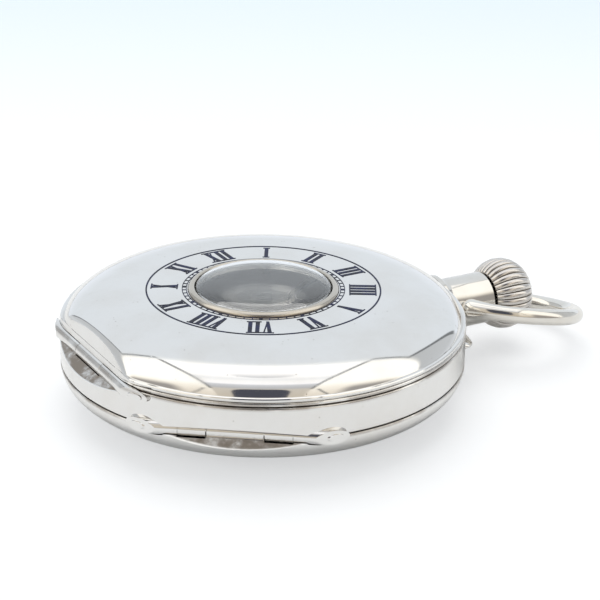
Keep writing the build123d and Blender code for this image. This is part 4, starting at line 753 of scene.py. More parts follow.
@dataclass(frozen=True)
class Enamel(Finish):
    """Fired enamel, slightly uneven and glossy."""

    name: str = "enamel"
    colour: Rgb = (0.006, 0.007, 0.018)
    second: Rgb = (0.014, 0.018, 0.06)
    roughness: float = 0.3
    gloss: float = 0.12

    def dress(self, g: Graph, shader: bpy.types.Node, coords: Socket) -> None:
        """Varies the colour and ripples the gloss a little."""
        broad = g.ramp(g.noise(coords, 700.0, 2.0), 0.35, 0.65)
        bump = g.add("Bump", {"Height": g.noise(coords, 500.0, 2.0), "Strength": 0.1, "Distance": 0.00003})
        rough = g.plus(self.roughness, g.times(broad, 0.08))
        g.fill(shader, {"Base Color": g.mix(broad, shade(self.colour), shade(self.second)),
                              "Roughness": rough, "Specular IOR Level": self.gloss,
                              "Normal": bump.outputs["Normal"]})


@dataclass(frozen=True)
class Glass(Finish):
    """Clear watch glass with faint wear on its surface."""

    name: str = "watch_glass"
    colour: Rgb = (0.985, 0.99, 0.99)

    def dress(self, g: Graph, shader: bpy.types.Node, coords: Socket) -> None:
        """Clear transmission with a trace of roughness from hairlines."""
        marks = g.group(handling_marks, {"Vector": coords, "Line Density": 0.5})
        rough = g.times(marks.outputs["Lines"], 0.04)
        g.fill(shader, {"Base Color": shade(self.colour), "Roughness": rough, "IOR": 1.5,
                              "Transmission Weight": 1.0})


@dataclass(frozen=True)
class Ruby(Finish):
    """Polished red jewel."""

    name: str = "ruby"
    colour: Rgb = (0.55, 0.03, 0.10)

    def dress(self, g: Graph, shader: bpy.types.Node, coords: Socket) -> None:
        """Deep red with a slight change of depth."""
        broad = g.ramp(g.noise(coords, 900.0, 2.0), 0.3, 0.7)
        g.fill(shader, {"Base Color": g.mix(broad, shade(self.colour), shade((0.7, 0.06, 0.16))),
                              "Roughness": 0.08, "Coat Weight": 0.8})


# plain silver: a brown line at the lid seam level, tarnish and painted shade
SILVER = Silver()
# band: the brown seam under the lid's bead is a painted reflection of the lid and painted shade with tarnish;
# the brown patches on the hinge flats and inner faces are tarnish and painted shade
BAND_SILVER = Silver(name="band_silver", level=9.95, width=0.55, seam_share=0.75, inner_radius=24.98)
BOW_SILVER = Silver(name="bow_silver", bright=(0.78, 0.755, 0.71), warm=(0.60, 0.54, 0.46), level=-5.0)
CROWN_SILVER = Silver(name="crown_silver", bright=(0.70, 0.67, 0.64), warm=(0.54, 0.48, 0.42), level=-5.0,
                      roughness=0.2)
STEEL = PlainMetal("steel", (0.60, 0.60, 0.62), (0.50, 0.50, 0.53), 0.18)
BLUED = PlainMetal("blued_steel", (0.02, 0.045, 0.24), (0.03, 0.03, 0.17), 0.16, grain_depth=0.05)
GILT = PlainMetal("gilt", (0.80, 0.60, 0.27), (0.72, 0.52, 0.22), 0.34, grain=3200.0, grain_depth=0.35)
BRASS = PlainMetal("brass", (0.74, 0.54, 0.24), (0.66, 0.47, 0.20), 0.2)
DARK_ENAMEL = Enamel()
WHITE_ENAMEL = Enamel("white_enamel", (0.86, 0.85, 0.81), (0.83, 0.82, 0.78), 0.12, 0.5)
GLASS = Glass()
RUBY = Ruby()
SLOT_FINISH: dict[str, Finish] = {
    "silver": SILVER, "dark_enamel": DARK_ENAMEL, "watch_glass": GLASS, "steel": STEEL, "blued_steel": BLUED,
    "gilt": GILT, "brass": BRASS, "white_enamel": WHITE_ENAMEL, "ruby": RUBY,
}


def put_on(piece: bpy.types.Object, finish: Finish, body: Body,
           replaced: Sequence[str] = ()) -> bpy.types.Object:
    """Dresses a new piece, ties it to its body and hides the CAD nodes it stands for.

    Args:
        piece: the finished object.
        finish: its finish.
        body: the body it rides on.
        replaced: CAD nodes that it stands for.

    Returns:
        The same object.
    """
    piece.data.materials.clear()
    piece.data.materials.append(finish.material())
    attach(piece, body.value)
    if replaced:
        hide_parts(*replaced)
    LOG.info("%s: %d faces on %s", piece.name, len(piece.data.polygons), body.value)
    return piece


# The watch


@dataclass
class CaseMiddle:
    """The band between the lid and the back, with its fixed hinge tubes."""

    radius: float = 25.0
    low: float = 5.9
    high: float = 9.9
    bore: float = 21.4
    seat: float = 20.95
    seat_low: float = 7.6
    ledge: float = 20.0
    ledge_low: float = 7.0
    rounding: float = 0.12
    trim: float = 25.45
    lid_knuckle: float = 3.4
    back_knuckle: float = 6.65
    lid_flat_slope: float = 0.6
    back_flat_slope: float = 0.55
    past: float = 2.0
    clear_high: float = 12.0
    clear_low: float = 4.0
    edge: float = 0.16

    def flat(self, hinge: Hinge, fall: float, clear: float) -> bpy.types.Object:
        """Block that files a sloping flat beside a hinge.

        Args:
            hinge: the hinge.
            fall: height lost over the width of the flat, negative where it rises.
            clear: height at which the block ends.

        Returns:
            The block.
        """
        far = self.radius + self.past
        return hinge.prism([(hinge.reach, hinge.height), (far, hinge.height - fall), (far, clear),
                            (hinge.reach, clear)], -hinge.half, hinge.half)

    def build(self) -> None:
        """Makes the band and the four tubes."""
        outline = np.array([
            (self.bore, self.low), (self.radius - self.edge, self.low), (self.radius, self.low + self.edge),
            (self.radius, self.high - self.edge), (self.radius - self.edge, self.high),
            (self.seat, self.high), (self.seat, self.seat_low), (self.ledge, self.seat_low),
            (self.ledge, self.ledge_low), (self.bore, self.ledge_low)])
        band = revolve("case_middle", rounded_outline(outline, self.rounding, 4), 512)
        width = self.radius + self.past - LID_HINGE.reach
        carve(band, [
            self.flat(LID_HINGE, self.lid_flat_slope * width, self.clear_high),
            self.flat(BACK_HINGE, -self.back_flat_slope * width, self.clear_low),
            LID_HINGE.rod(-self.lid_knuckle, self.lid_knuckle),
            BACK_HINGE.rod(-self.back_knuckle, self.back_knuckle),
        ])
        put_on(band, BAND_SILVER, Body.CASE, ["case_band"])
        ends = ((LID_HINGE, self.lid_knuckle, "lid"), (BACK_HINGE, self.back_knuckle, "back"))
        for hinge, start, label in ends:
            for side, end in ((-1, "a"), (1, "b")):
                piece = hinge.fixed_tube(f"{label}_hinge_tube_{end}", start, side, self.trim)
                put_on(piece, SILVER, Body.CASE)


@dataclass
class FrontLid:
    """The front lid with its beaded rim, window bezel and glass."""

    top: float = 14.3
    flat: float = 14.7
    wall: float = 0.6
    low: float = 10.0
    opening: float = 8.4
    glass_top: float = 15.55
    glass_base: float = 14.35
    glass_wall: float = 0.6
    glass_gap: float = 0.02
    knuckle: float = 3.35
    bezel_seat: float = 9.32
    bezel_low: float = 13.2
    bezel_step: Plane = (9.9, 13.7)
    bezel_radius: float = 9.3
    bezel_bulge: Plane = (9.02, 14.68)
    bezel_crest: Plane = (8.75, 14.78)
    bezel_lean: Plane = (8.5, 14.7)
    bezel_proud: float = 0.05
    top_middle: float = 12.0
    shoulder: Plane = (21.3, 13.45)
    beads: Plane = (24.5, 11.0)
    bead_reach: float = 25.0
    upper_bead: float = 10.74
    groove: Plane = (24.72, 10.48)
    lower_bead: float = 10.24
    inner_wall: Plane = (21.9, 11.6)
    inner_shoulder: Plane = (20.7, 12.85)
    edge_reach: float = 23.05
    edge_top: float = 10.45
    edge_slope: float = 4.0
    soften: float = 0.7

    def outline(self) -> tuple[np.ndarray, int]:
        """Section of the lid: flat top, spline shoulder, two beads and the inside.

        Returns:
            Its points, and how many of them are outside.
        """
        under = self.top - self.wall
        shoulder = clamped_spline([(self.flat, self.top), self.shoulder, self.beads], (1, 0), (1, -2.2), 90)
        upper = three_point_arc(self.beads, (self.bead_reach, self.upper_bead), self.groove, 9)
        lower = three_point_arc(self.groove, (self.bead_reach, self.lower_bead),
                                (self.groove[0], self.low), 9)
        inside = clamped_spline([self.inner_wall, self.inner_shoulder, (self.flat - self.wall, under)],
                                (-1, 1), (-1, 0), 24)
        outside = np.concatenate([[(self.bezel_seat, self.top), (self.top_middle, self.top)], shoulder,
                                  upper[1:], lower[1:]])
        within = np.concatenate([[(self.inner_wall[0], self.low)], inside, [(self.bezel_seat, under)]])
        return np.concatenate([outside, within]), len(outside)

    def shell(self) -> bpy.types.Object:
        """Shell turned from its section and pressed straight along the hinge.

        The outer radius r at angle a from the hinge's middle becomes the smooth
        minimum of r and L(z) / cos a, where L is the straight side's reach.
        """
        outline, outer = self.outline()
        steps = 720
        a = np.arange(steps) * TURN / steps
        r, z = outline[:, 0:1] + 0 * a, outline[:, 1:2] + 0 * a
        across = np.cos(a - math.radians(LID_HINGE.degrees))
        reach = self.edge_reach - np.maximum(z - self.edge_top, 0) / self.edge_slope
        limit = np.where(across > 0.5, reach / np.maximum(across, 0.5), 4 * self.edge_reach)
        share = np.clip(0.5 + 0.5 * (limit - r) / self.soften, 0, 1)
        pressed = limit + (r - limit) * share - self.soften * share * (1 - share)
        r[:outer] = pressed[:outer]
        points = np.stack([r * np.cos(a), r * np.sin(a), z], -1).reshape(-1, 3)
        return mesh_object("lid_shell", points, grid_faces(len(outline), steps, True, True), FINE)

    def build(self) -> None:
        """Makes the shell, its knuckle, the bezel and the glass."""
        shell = self.shell()
        carve(shell, LID_HINGE.grooves(self.knuckle), FINE)
        put_on(shell, LID_SILVER, Body.LID, ["front_lid"])
        put_on(LID_HINGE.knuckle("lid_knuckle", self.knuckle), SILVER, Body.LID)
        step, foot = self.bezel_step, (self.bezel_radius, self.top + self.bezel_proud)
        ring = np.concatenate([
            [(self.opening, self.bezel_low), (step[0], self.bezel_low), step, (foot[0], step[1]), foot],
            three_point_arc(foot, self.bezel_bulge, self.bezel_crest, 8),
            three_point_arc(self.bezel_crest, self.bezel_lean,
                            (self.opening, self.glass_base + self.bezel_proud), 6)])
        put_on(revolve("window_bezel", ring, 360), BEZEL_SILVER, Body.LID, ["lid_window_bezel"])
        radius = self.opening - self.glass_gap
        share = np.sin(np.linspace(0, math.pi / 2, 48))
        fall = (self.glass_top - self.glass_base) * (1 - np.sqrt(1 - share**5))
        outer = np.stack([radius * share, self.glass_top - fall], -1)
        inner = np.stack([radius * share, self.glass_top - self.glass_wall - fall], -1)[::-1]
        glass = revolve("window_glass", np.concatenate([outer, inner]), 192, closed=False)
        put_on(glass, GLASS, Body.LID, ["lid_crystal"])


@dataclass
class BackCover:
    """The domed back with its rim, hinge knuckle and thumb lip."""

    flat: float = 8.0
    bowl_radius: float = 24.9
    bowl_height: float = 5.2
    outer_turns: tuple[float, ...] = (0.55, 0.8, 1.0, 1.3)
    inner_turns: tuple[float, ...] = (1.0, 0.8, 0.55)
    step: float = 0.05
    rim: float = 25.0
    high: float = 5.8
    wall: float = 0.6
    lip_degrees: float = -16.5
    lip_half: float = 6.2
    lip_reach: float = 26.82
    lip_thick: float = 0.47
    lip_root: float = 0.35
    lip_under: float = 0.42
    lip_overlap: float = 0.1
    lip_taper: float = 0.3
    lip_droop: float = 0.10
    lip_grid: tuple[int, int] = (41, 20)
    chamfer: float = 0.08
    inner_rim: float = 21.9
    knuckle: float = 3.3
    slot_start: float = 3.35
    slot_end: float = 6.7
    slot_near: float = 20.8
    slot_far: float = 23.8
    slot_low: float = 4.95
    clear: float = 7.9
    past: float = 2.0
    facet_slope: float = 0.7

    def bowl(self, turn: np.ndarray, inset: float) -> np.ndarray:
        """Points (R sin^(2/3) t, H (1 - cos t)) of the bowl, moved inwards along the normal."""
        power = 2 / 3
        out = self.bowl_radius * np.sin(turn)**power
        up = self.bowl_height * (1 - np.cos(turn))
        slope_out = self.bowl_radius * power * np.sin(turn)**(power - 1) * np.cos(turn)
        slope_up = self.bowl_height * np.sin(turn)
        length = np.hypot(slope_out, slope_up)
        return np.stack([out - inset * slope_up / length, up + inset * slope_out / length], -1)

    def outline(self) -> np.ndarray:
        """Section of the back from its middle, over the rim and back inside."""
        knots = [(self.flat, 0.0), *map(tuple, self.bowl(np.array(self.outer_turns), 0.0)),
                 (self.bowl_radius, self.bowl_height)]
        outer = clamped_spline(knots, (1, 0), (0, 1), 70)
        inner_knots = [*map(tuple, self.bowl(np.array(self.inner_turns), self.wall)), (self.flat, self.wall)]
        inner = clamped_spline(inner_knots, (-0.5, -1), (-1, 0), 40)
        edge = [(self.rim, self.bowl_height + self.step), (self.rim, self.high - self.chamfer),
                (self.rim - self.chamfer, self.high), (self.inner_rim, self.high)]
        return np.concatenate([[(0.0, 0.0)], outer, edge, inner, [(0.0, self.wall)]])

    def lip(self) -> bpy.types.Object:
        """Thumb lip, a rounded tongue that swells out of the rim.

        Across u from -1 to 1 and round v its plan is the rim's arc pushed out by
        (1 - u^4), and its section is a flattened circle.
        """
        rows, columns = self.lip_grid
        u = np.linspace(-1, 1, rows)[:, None]
        v = np.arange(columns)[None, :] * TURN / columns
        angle = np.radians(self.lip_degrees + self.lip_half * u)
        grow = np.sqrt(np.clip(1 - u**4, 0, 1))
        middle = self.rim - self.lip_root + self.lip_root * grow
        thick = self.lip_thick * grow**0.5
        reach = (self.lip_reach - self.rim) / 2 * grow
        r = middle + reach + (reach + self.lip_overlap) * np.cos(v)
        z = (self.high - self.lip_under + thick * np.sin(v) * (1 - self.lip_taper * np.cos(v))
             - self.lip_droop * grow * (1 + np.cos(v)) / 2)
        points = np.stack([r * np.cos(angle), r * np.sin(angle), z + 0 * angle], -1).reshape(-1, 3)
        return mesh_object("thumb_lip", points, grid_faces(rows, columns, False, True), BLUNT)

    def build(self) -> None:
        """Makes the bowl, its knuckle and its lip."""
        shell = revolve("back_shell", self.outline(), 512, closed=False, sharp=FINE)
        hinge, far = BACK_HINGE, self.rim + self.past
        drop = self.facet_slope * (far - hinge.reach)
        slot = [(self.slot_near, self.slot_low), (self.slot_far, self.slot_low), (self.slot_far, self.clear),
                (self.slot_near, self.clear)]
        facet = [(hinge.reach, hinge.height), (far, hinge.height - drop), (far, self.clear),
                 (hinge.reach, self.clear)]
        carve(shell, [
            hinge.prism(facet, -hinge.half, hinge.half), *hinge.grooves(self.slot_start),
            hinge.prism(slot, self.slot_start, self.slot_end),
            hinge.prism(slot, -self.slot_end, -self.slot_start),
        ], FINE)
        put_on(shell, BACK_SILVER, Body.BACK, ["back_cover"])
        put_on(hinge.knuckle("back_knuckle", self.knuckle), SILVER, Body.BACK)
        put_on(self.lip(), SILVER, Body.BACK)


@dataclass
class Pendant:
    """The neck with its flared foot, the ribbed crown and the bow."""

    height: float = 7.0
    case: float = 25.0
    radius: float = 3.4
    end: float = 32.65
    foot: float = 4.3
    lip: tuple[float, float] = (25.75, 4.15)
    fillet: tuple[float, float] = (26.1, 3.62)
    neck_start: float = 26.95
    sunk: float = 1.4
    lip_edge: Plane = (0.1, 0.02)
    lip_round: float = 0.06
    core_half: float = 9.0
    pin_past: Plane = (0.1, 1.5)
    pin_up: tuple[float, float, float] = (0.0, 0.3, 1.0)
    face_inset: float = 0.3
    face_rise: Plane = (0.02, 1.6)
    face_edge: float = 0.15
    tip_rings: Plane = (2.6, 1.2)
    rib_fade: Plane = (2.1, 0.7)
    rib_power: float = 0.6
    dark_groove_width: float = 0.22
    dark_groove_radius: float = 2.5
    bore: float = 2.02
    bore_start: float = 28.2
    neck_middle: float = 29.5
    edge: float = 0.12
    crown_start: tuple[float, float] = (33.0, 3.4)
    crown_shoulder: tuple[float, float] = (35.8, 4.68)
    crown_end: tuple[float, float] = (38.9, 2.8)
    ribs: int = 32
    rib_depth: float = 0.26
    pivot: float = 27.9
    pin: float = 0.7
    pin_room: float = 0.73
    pin_start: float = 2.4
    wire: float = 1.05
    boss: float = 1.32
    seat: float = 4.8
    length: float = 18.1
    half_width: float = 9.3
    drop: float = 12.4
    lean: float = -10.8
    boss_start: float = 0.82
    bow_up: tuple[float, float, float] = (0.0, 0.12, 1.0)

    def pin_path(self, side: int, start: float, end: float) -> np.ndarray:
        """Points along the bow's leaning pin axis on one side of the stem."""
        lean = math.radians(self.lean)
        reach = side * np.linspace(start, end, 6)[:, None]
        return np.array([self.pivot, 0, self.height]) + reach * [0, math.cos(lean), math.sin(lean)]

    def build_neck(self) -> None:
        """Neck: a straight tube whose foot curls out to a lip against the round case."""
        start = self.case - self.sunk
        out, up = self.lip
        tip = (out, up - self.lip_round)
        lip = np.array([(start, self.foot), (out - self.lip_edge[0], up + self.lip_edge[1]), tip])
        curl = three_point_arc(tip, self.fillet, (self.neck_start, self.radius), 14)
        outline = np.concatenate([
            [(start, 0.0)], lip, curl[1:],
            [(self.neck_middle, self.radius), (self.end - self.edge, self.radius),
             (self.end, self.radius - self.edge), (self.end, self.bore), (self.bore_start, self.bore),
             (self.bore_start, 0.0)]])
        neck = turned_on_stem("neck", outline, 192, self.height)
        low, high = self.height - self.core_half, self.height + self.core_half
        section = np.array([(0.0, low), (self.case, low), (self.case, high), (0.0, high)])
        core = revolve("seat_tool", section, 512, closed=False)
        tools = [core]
        for side in (-1, 1):
            path = self.pin_path(side, self.pin_start - self.pin_past[0], self.radius + self.pin_past[1])
            tools.append(tube("pin_room", path, np.full(len(path), self.pin_room), 48, self.pin_up))
        carve(neck, tools)
        put_on(neck, NECK_SILVER, Body.CASE, ["pendant"])

    def build_crown(self) -> None:
        """Crown: a round bulb whose ribs run from the neck to its tip as a rectified sine."""
        body = three_point_arc(self.crown_start, self.crown_shoulder, self.crown_end, 64)
        first, last = self.crown_start[0], self.crown_end[0]
        near_face = [(first + self.face_inset, 0.0), (first + self.face_rise[0], self.face_rise[1]),
                     (first, self.crown_start[1] - self.face_edge)]
        outline = np.concatenate([near_face, body, [(last, out) for out in (*self.tip_rings, 0.0)]])
        fade = np.clip((outline[:, 1] - self.rib_fade[0]) / self.rib_fade[1], 0, 1)

        def swell(row: np.ndarray, angle: np.ndarray) -> np.ndarray:
            """Depth of the valleys between the ribs."""
            rib = np.abs(np.sin(self.ribs * angle / 2))**self.rib_power
            return -self.rib_depth * fade[row] * (1 - rib)

        crown = turned_on_stem("ribbed_crown", outline, self.ribs * 24, self.height, swell, 60.0)
        put_on(crown, CROWN_SILVER, Body.CROWN, ["crown"])
        # faces at the bottom of each rib valley, outside a radius, take the darker groove silver
        crown.data.materials.append(GROOVE_SILVER.material())
        for face in crown.data.polygons:
            y, z = face.center.y / MM, face.center.z / MM - self.height
            deep = abs(math.sin(self.ribs * math.atan2(z, y) / 2)) < self.dark_groove_width
            face.material_index = int(deep and math.hypot(y, z) > self.dark_groove_radius)

    def bow_path(self, count: int) -> np.ndarray:
        """Centre line of the bow.

        Three arcs in a plane, tangent where they join: two side arcs that each pass
        through a seat and the widest point, and an end arc through the far point.
        The plane is dropped about the pins and leaned about the stem.

        Args:
            count: points on each arc.

        Returns:
            The points in the frame of the watch.
        """
        half, seat = self.half_width, self.seat
        middle = self.length - self.length / (1 + math.sqrt(1 - (seat / half)**2))
        side = (middle**2 + (half - seat)**2) / (2 * (half - seat))
        off, short = side - half, side - self.length
        centre = (middle**2 + off**2 - short**2) / (2 * (short + middle))
        join = math.atan2(off, centre - middle)
        start = math.atan2(seat + off, -middle)
        first = np.linspace(start, join, count)
        near = np.stack([middle + side * np.cos(first), side * np.sin(first) - off], -1)
        second = np.linspace(join, -join, count)
        end = np.stack([centre + (self.length - centre) * np.cos(second),
                        (self.length - centre) * np.sin(second)], -1)
        flat = np.concatenate([near, end[1:], near[::-1][1:] * [1, -1]])
        flat = np.concatenate([flat, np.zeros((len(flat), 1))], 1)
        lean, drop = math.radians(self.lean), math.radians(self.drop)
        turn = Matrix.Rotation(lean, 3, "X") @ Matrix.Rotation(drop, 3, "Y")
        return flat @ np.array(turn).T + [self.pivot, 0, self.height]

    def build_bow(self) -> None:
        """Bow: a round wire, a little thicker at its pierced ends."""
        path = self.bow_path(70)
        share = np.abs(np.linspace(-1, 1, len(path)))
        swell = np.clip((share - self.boss_start) / (1 - self.boss_start), 0, 1)**2
        radii = self.wire + (self.boss - self.wire) * swell
        bow = tube("bow_wire", path, radii, 48, self.bow_up, 10)
        put_on(bow, BOW_SILVER, Body.BOW, ["bow"])
        for side, end in ((-1, "a"), (1, "b")):
            path = self.pin_path(side, self.pin_start, self.seat)
            pin = tube(f"bow_pin_{end}", path, np.full(len(path), self.pin), 32, self.pin_up)
            put_on(pin, BOW_SILVER, Body.BOW)

    def build(self) -> None:
        """Makes the neck, the crown and the bow."""
        self.build_neck()
        self.build_crown()
        self.build_bow()


# lid: a brown line along its lower bead, tarnish and painted shade
LID_SILVER = Silver(name="lid_silver", level=10.2, width=0.5, seam_share=0.5, roughness=0.055)
# bezel: a darker brown copy of silver, painted shade of the step it sits in; the line at its foot is tarnish
# and painted shade
BEZEL_SILVER = Silver(name="bezel_silver", bright=(0.58, 0.54, 0.48), warm=(0.42, 0.37, 0.30), level=14.3,
                      width=0.25, seam_share=0.6, roughness=0.16)
# groove silver: a dark brown for the bottoms of the crown's rib valleys
GROOVE_SILVER = Silver(name="groove_silver", bright=(0.26, 0.23, 0.19), warm=(0.16, 0.13, 0.10), level=-5.0,
                       roughness=0.35)
# back: a brown line along the top of its rim under the band, tarnish and painted shade
BACK_SILVER = Silver(name="back_silver", level=5.75, width=0.35, seam_share=0.7)
# neck: a darker, warmer copy of silver, a painted dim reflection over the whole neck
NECK_SILVER = Silver(name="neck_silver", bright=(0.75, 0.73, 0.695), warm=(0.56, 0.50, 0.43), level=-5.0)


class CadNodes:
    """The CAD nodes that stay, each dressed by its material slot."""

    def build(self) -> None:
        """Gives every node the finish of its slot."""
        slots = {row["node"]: row["material_slot"] for row in frame["record"]["subparts"]}
        for name, node in frame["nodes"].items():
            finish = SLOT_FINISH[slots[name]]
            for place in node.material_slots:
                place.material = finish.material()
            if not node.material_slots:
                node.data.materials.append(finish.material())
        LOG.info("dressed %d nodes", len(frame["nodes"]))


# Studio


class Tent:
    """World light: an even white for the light, and a sewn tent for what metal shows.

    A direction's share runs from 0 at the far table over the top to 1 at the near
    one, and its side is the sine of its angle from the arch, left negative. The
    front panel has a grey far part, a white near part and the dark hole that the
    camera looks through; two seams part it from the side panels.
    """

    front = [
        (0.0, (0.96, 1.02, 1.10)), (0.07, (0.87, 0.93, 0.99)), (0.33, (0.90, 0.95, 1.0)),
        (0.346, (1.03, 1.07, 1.09)), (0.362, (1.4, 1.4, 1.4)), (0.47, (1.4, 1.4, 1.4)),
        (0.51, (1.12, 1.14, 1.16)), (0.54, (1.25, 1.25, 1.24)), (0.585, (1.3, 1.3, 1.32)),
        (0.605, (0.80, 0.82, 0.86)), (0.66, (0.62, 0.63, 0.65)), (0.69, (0.76, 0.71, 0.63)),
        (0.90, (0.70, 0.63, 0.52)), (1.0, (0.55, 0.51, 0.45))]
    sides = [
        (0.0, (0.80, 0.84, 0.88)), (0.08, (0.66, 0.69, 0.72)), (0.33, (0.62, 0.645, 0.665)),
        (0.345, (0.8, 0.81, 0.80)), (0.365, (1.4, 1.39, 1.34)), (0.60, (1.4, 1.39, 1.33)),
        (0.67, (1.25, 1.2, 1.08)), (0.75, (1.12, 1.05, 0.93)), (0.90, (0.90, 0.82, 0.70)),
        (1.0, (0.45, 0.42, 0.38))]
    corner, corner_off, corner_share = (0.42, 0.40, 0.38), (0.58, 0.72), (0.64, 0.76)
    far_edge, near_edge, edge_turn, edge_soft = 0.66, 0.375, (0.34, 0.36), 0.01
    stain, stain_place, stain_size = (0.72, 0.735, 0.76), 0.458, (0.037, 0.17)
    stain_fade, stain_rise, stain_depth = (0.0, 0.3), (0.42, 0.495), 0.9
    hole, hole_place, hole_size, hole_edge = (0.085, 0.09, 0.115), 0.80, (0.115, 0.235), (0.85, 1.15)
    thread, thread_depth, tick_slope = (0.16, 0.17, 0.18), 0.88, 0.95
    # each mark: its limits to the side and along the arch, each with its softness
    seam = ((0.363, 0.387, 0.006), (0.355, 0.70, 0.01))
    tick = ((-0.25, -0.225, 0.008), (0.70, 0.88, 0.01))
    hem = ((0.64, 0.68, 0.008), (0.05, 0.34, 0.02))
    lip = ((0.37, 0.68, 0.01), (0.338, 0.348, 0.004))
    lit, lit_strength, clear = (0.93, 0.96, 1.0), 0.5, (0.90, 0.95, 1.0)

    def __init__(self, g: Graph, share: Socket, side: Socket) -> None:
        """Keeps the tree's helper, the share and the distance to either side."""
        self.g, self.share, self.off = g, share, g.math("ABSOLUTE", side)

    def panel(self, stops: Sequence[tuple[float, Rgb]]) -> Socket:
        """One strip of the tent, coloured by its stops along the arch."""
        ramp = self.g.add("ValToRGB", {0: self.share})
        band = ramp.color_ramp
        for element, (place, colour) in ((band.elements[0], stops[0]), (band.elements[-1], stops[-1])):
            element.position, element.color = place, shade(colour)
        for place, colour in stops[1:-1]:
            band.elements.new(place).color = shade(colour)
        return ramp.outputs["Color"]

    def between(self, value: object, low: float, high: float, soft: float) -> Socket:
        """One where a value lies between two limits, with soft ends."""
        g = self.g
        return g.times(g.ramp(value, low - soft, low + soft),
                       g.minus(1.0, g.ramp(value, high - soft, high + soft)))

    def mark(self, value: Socket, limits: Sequence[Sequence[float]]) -> Socket:
        """A sewn mark within its limits to the side and along the arch."""
        return self.g.times(self.between(value, *limits[0]), self.between(self.share, *limits[1]))

    def oval(self, place: float, size: Plane, power: float, centred: bool) -> Socket:
        """Sum of powers of the distances along the arch and to the side, each over its size."""
        g = self.g
        along = g.minus(self.share, place)
        along = g.math("ABSOLUTE", along) if centred else along
        return g.plus(g.math("POWER", g.math("DIVIDE", along, size[0]), power),
                      g.math("POWER", g.math("DIVIDE", self.off, size[1]), power))

    def shown(self) -> Socket:
        """Colour that metal sees in a direction."""
        g, share, off = self.g, self.share, self.off
        front, sides = self.panel(self.front), self.panel(self.sides)
        corner = g.times(g.ramp(off, *self.corner_off), g.ramp(share, *self.corner_share))
        sides = g.mix(corner, sides, shade(self.corner))
        near = g.ramp(share, *self.edge_turn)
        edge = g.plus(self.far_edge, g.times(near, self.near_edge - self.far_edge))
        shown = g.mix(g.ramp(g.minus(off, edge), -self.edge_soft, self.edge_soft), front, sides)
        stain = g.minus(1.0, g.math("SQRT", self.oval(self.stain_place, self.stain_size, 2.0, False)))
        soft = g.times(g.ramp(stain, *self.stain_fade), g.ramp(share, *self.stain_rise))
        shown = g.mix(g.times(soft, self.stain_depth), shown, shade(self.stain))
        hole = self.oval(self.hole_place, self.hole_size, 4.0, True)
        shown = g.mix(g.minus(1.0, g.ramp(hole, *self.hole_edge)), shown, shade(self.hole))
        slant = g.minus(off, g.times(share, self.tick_slope))
        line = g.larger(g.larger(self.mark(off, self.seam), self.mark(slant, self.tick)),
                        g.larger(self.mark(off, self.hem), self.mark(off, self.lip)))
        return g.mix(g.times(line, self.thread_depth), shown, shade(self.thread))


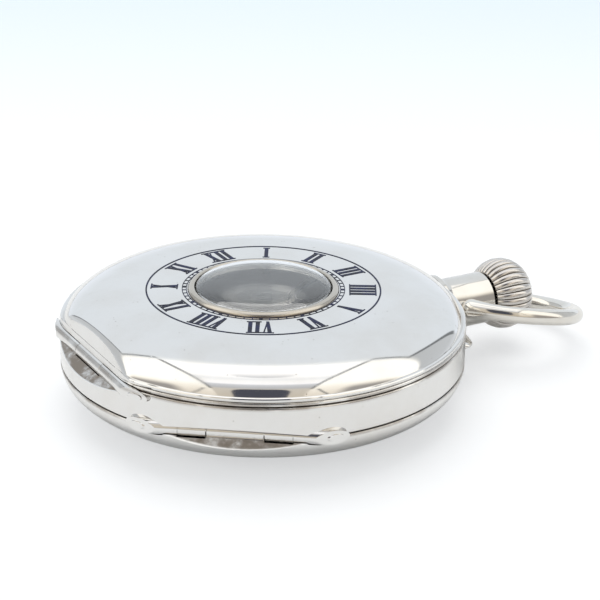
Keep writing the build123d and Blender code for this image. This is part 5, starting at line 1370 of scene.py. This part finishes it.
@dataclass
class Studio:
    """White table, soft light tent and the camera of the photograph."""

    elevation: float = 22.4
    azimuth: float = -29.638
    distance: float = 236.4
    across: float = 4.497
    target_height: float = 12.8
    focal: float = 1921.94
    frame_width: float = 600.0
    roll: float = 0.912
    near: Rgb = (0.45, 0.455, 0.46)
    far: Rgb = (0.36, 0.40, 0.46)
    mirrored: Rgb = (0.90, 0.905, 0.90)
    glow: float = 0.56

    def camera(self) -> None:
        """Places the camera by its turn, height and distance."""
        a, e, r = (math.radians(v) for v in (self.azimuth, self.elevation, self.roll))
        right = Vector((math.cos(a), math.sin(a), 0))
        back = Vector((math.sin(a) * math.cos(e), -math.cos(a) * math.cos(e), math.sin(e)))
        up = back.cross(right)
        lens = bpy.data.cameras.new("view")
        lens.sensor_width = 36.0
        lens.lens = self.focal / self.frame_width * lens.sensor_width
        lens.clip_start, lens.clip_end = 0.01, 20.0
        made = linked("view", lens)
        place = (right * self.across + Vector((0, 0, self.target_height)) + back * self.distance) * MM
        x = math.cos(r) * right + math.sin(r) * up
        y = -math.sin(r) * right + math.cos(r) * up
        turn = Matrix((x, y, back)).transposed().to_4x4()
        made.matrix_world = Matrix.Translation(place) @ turn
        bpy.context.scene.camera = made

    def floor(self) -> None:
        """White table that turns a little blue far off, and is duller where metal shows it."""
        size = 6.0
        mesh = bpy.data.meshes.new("table")
        corners = [(-size, -size, 0), (size, -size, 0), (size, size, 0), (-size, size, 0)]
        mesh.from_pydata(corners, [], [(0, 1, 2, 3)])
        table = linked("table", mesh)
        made = bpy.data.materials.new("table")
        made.use_nodes = True
        g = Graph(made.node_tree)
        shader = made.node_tree.nodes["Principled BSDF"]
        shader.inputs["Roughness"].default_value = 0.6
        far = g.ramp(self.along(g, g.add("TexCoord").outputs["Object"])[0], 0.03, 0.26)
        path = g.add("LightPath")
        seen = g.larger(path.outputs["Is Camera Ray"], path.outputs["Is Transmission Ray"])
        base = g.mix(far, shade(self.near), shade(self.far))
        made.node_tree.links.new(g.mix(seen, shade(self.mirrored), base), shader.inputs["Base Color"])
        made.node_tree.links.new(g.mix(far, shade((0.98, 0.99, 1.0)), shade((0.68, 0.79, 0.96))),
                                 shader.inputs["Emission Color"])
        made.node_tree.links.new(g.times(seen, self.glow), shader.inputs["Emission Strength"])
        mesh.materials.append(made)

    def along(self, g: Graph, vector: Socket) -> tuple[
            bpy.types.NodeSocket, bpy.types.NodeSocket, bpy.types.NodeSocket]:
        """Splits a vector into its parts ahead of the camera, to its right and up."""
        parts = g.add("SeparateXYZ", {0: vector})
        a = math.radians(self.azimuth)
        ahead = g.plus(g.times(parts.outputs["X"], -math.sin(a)),
                       g.times(parts.outputs["Y"], math.cos(a)))
        right = g.plus(g.times(parts.outputs["X"], math.cos(a)),
                       g.times(parts.outputs["Y"], math.sin(a)))
        return ahead, right, parts.outputs["Z"]

    def tent(self) -> None:
        """World that lights evenly, shows metal the tent and shows the camera a clear sky."""
        world = bpy.data.worlds.new("tent")
        bpy.context.scene.world = world
        world.use_nodes = True
        tree = world.node_tree
        tree.nodes.clear()
        g = Graph(tree)
        ahead, side, up = self.along(g, g.add("TexCoord").outputs["Generated"])
        shown = Tent(g, g.math("DIVIDE", g.math("ARCTAN2", up, ahead), math.pi), side).shown()
        path = g.add("LightPath")
        lit = g.add("Background", {"Color": shade(Tent.lit), "Strength": Tent.lit_strength})
        clear = g.add("Background", {"Color": shade(Tent.clear), "Strength": 1.0})
        mirror = g.add("Background", {"Color": shown, "Strength": 1.0})
        glossy = path.outputs["Is Glossy Ray"]
        first = g.add("MixShader", {0: glossy, 1: lit.outputs[0], 2: mirror.outputs[0]})
        direct = g.larger(path.outputs["Is Camera Ray"], path.outputs["Is Transmission Ray"])
        second = g.add("MixShader", {0: direct, 1: first.outputs[0], 2: clear.outputs[0]})
        out = g.add("OutputWorld")
        tree.links.new(second.outputs[0], out.inputs["Surface"])

    def lamps(self) -> None:
        """Two broad soft lamps, one overhead and one to the left."""
        for name, place, size, power, colour in (
            ("overhead", (0.10, 0.25, 0.75), 0.9, 4.4, (1.0, 0.99, 0.97)),
            ("left", (-0.7, -0.35, 0.45), 0.6, 1.5, (0.96, 0.98, 1.0)),
        ):
            lamp = bpy.data.lights.new(name, "AREA")
            lamp.shape, lamp.size, lamp.energy, lamp.color = "DISK", size, power, colour
            made = linked(name, lamp)
            made.location = place
            made.rotation_euler = (-Vector(place)).to_track_quat("-Z", "Y").to_euler()
            made.visible_glossy = False

    def build(self) -> None:
        """Sets up view, floor, light and camera."""
        bpy.context.scene.view_settings.view_transform = "Standard"
        self.camera()
        self.floor()
        self.tent()
        self.lamps()


def main() -> None:
    """Builds the studio and every group of pieces in order."""
    logging.basicConfig(level=logging.INFO, format="%(name)s %(message)s")
    Studio().build()
    CadNodes().build()
    for group in (CaseMiddle(), FrontLid(), BackCover(), Pendant()):
        LOG.info("building %s", type(group).__name__)
        group.build()


if __name__ == "__main__":
    main()
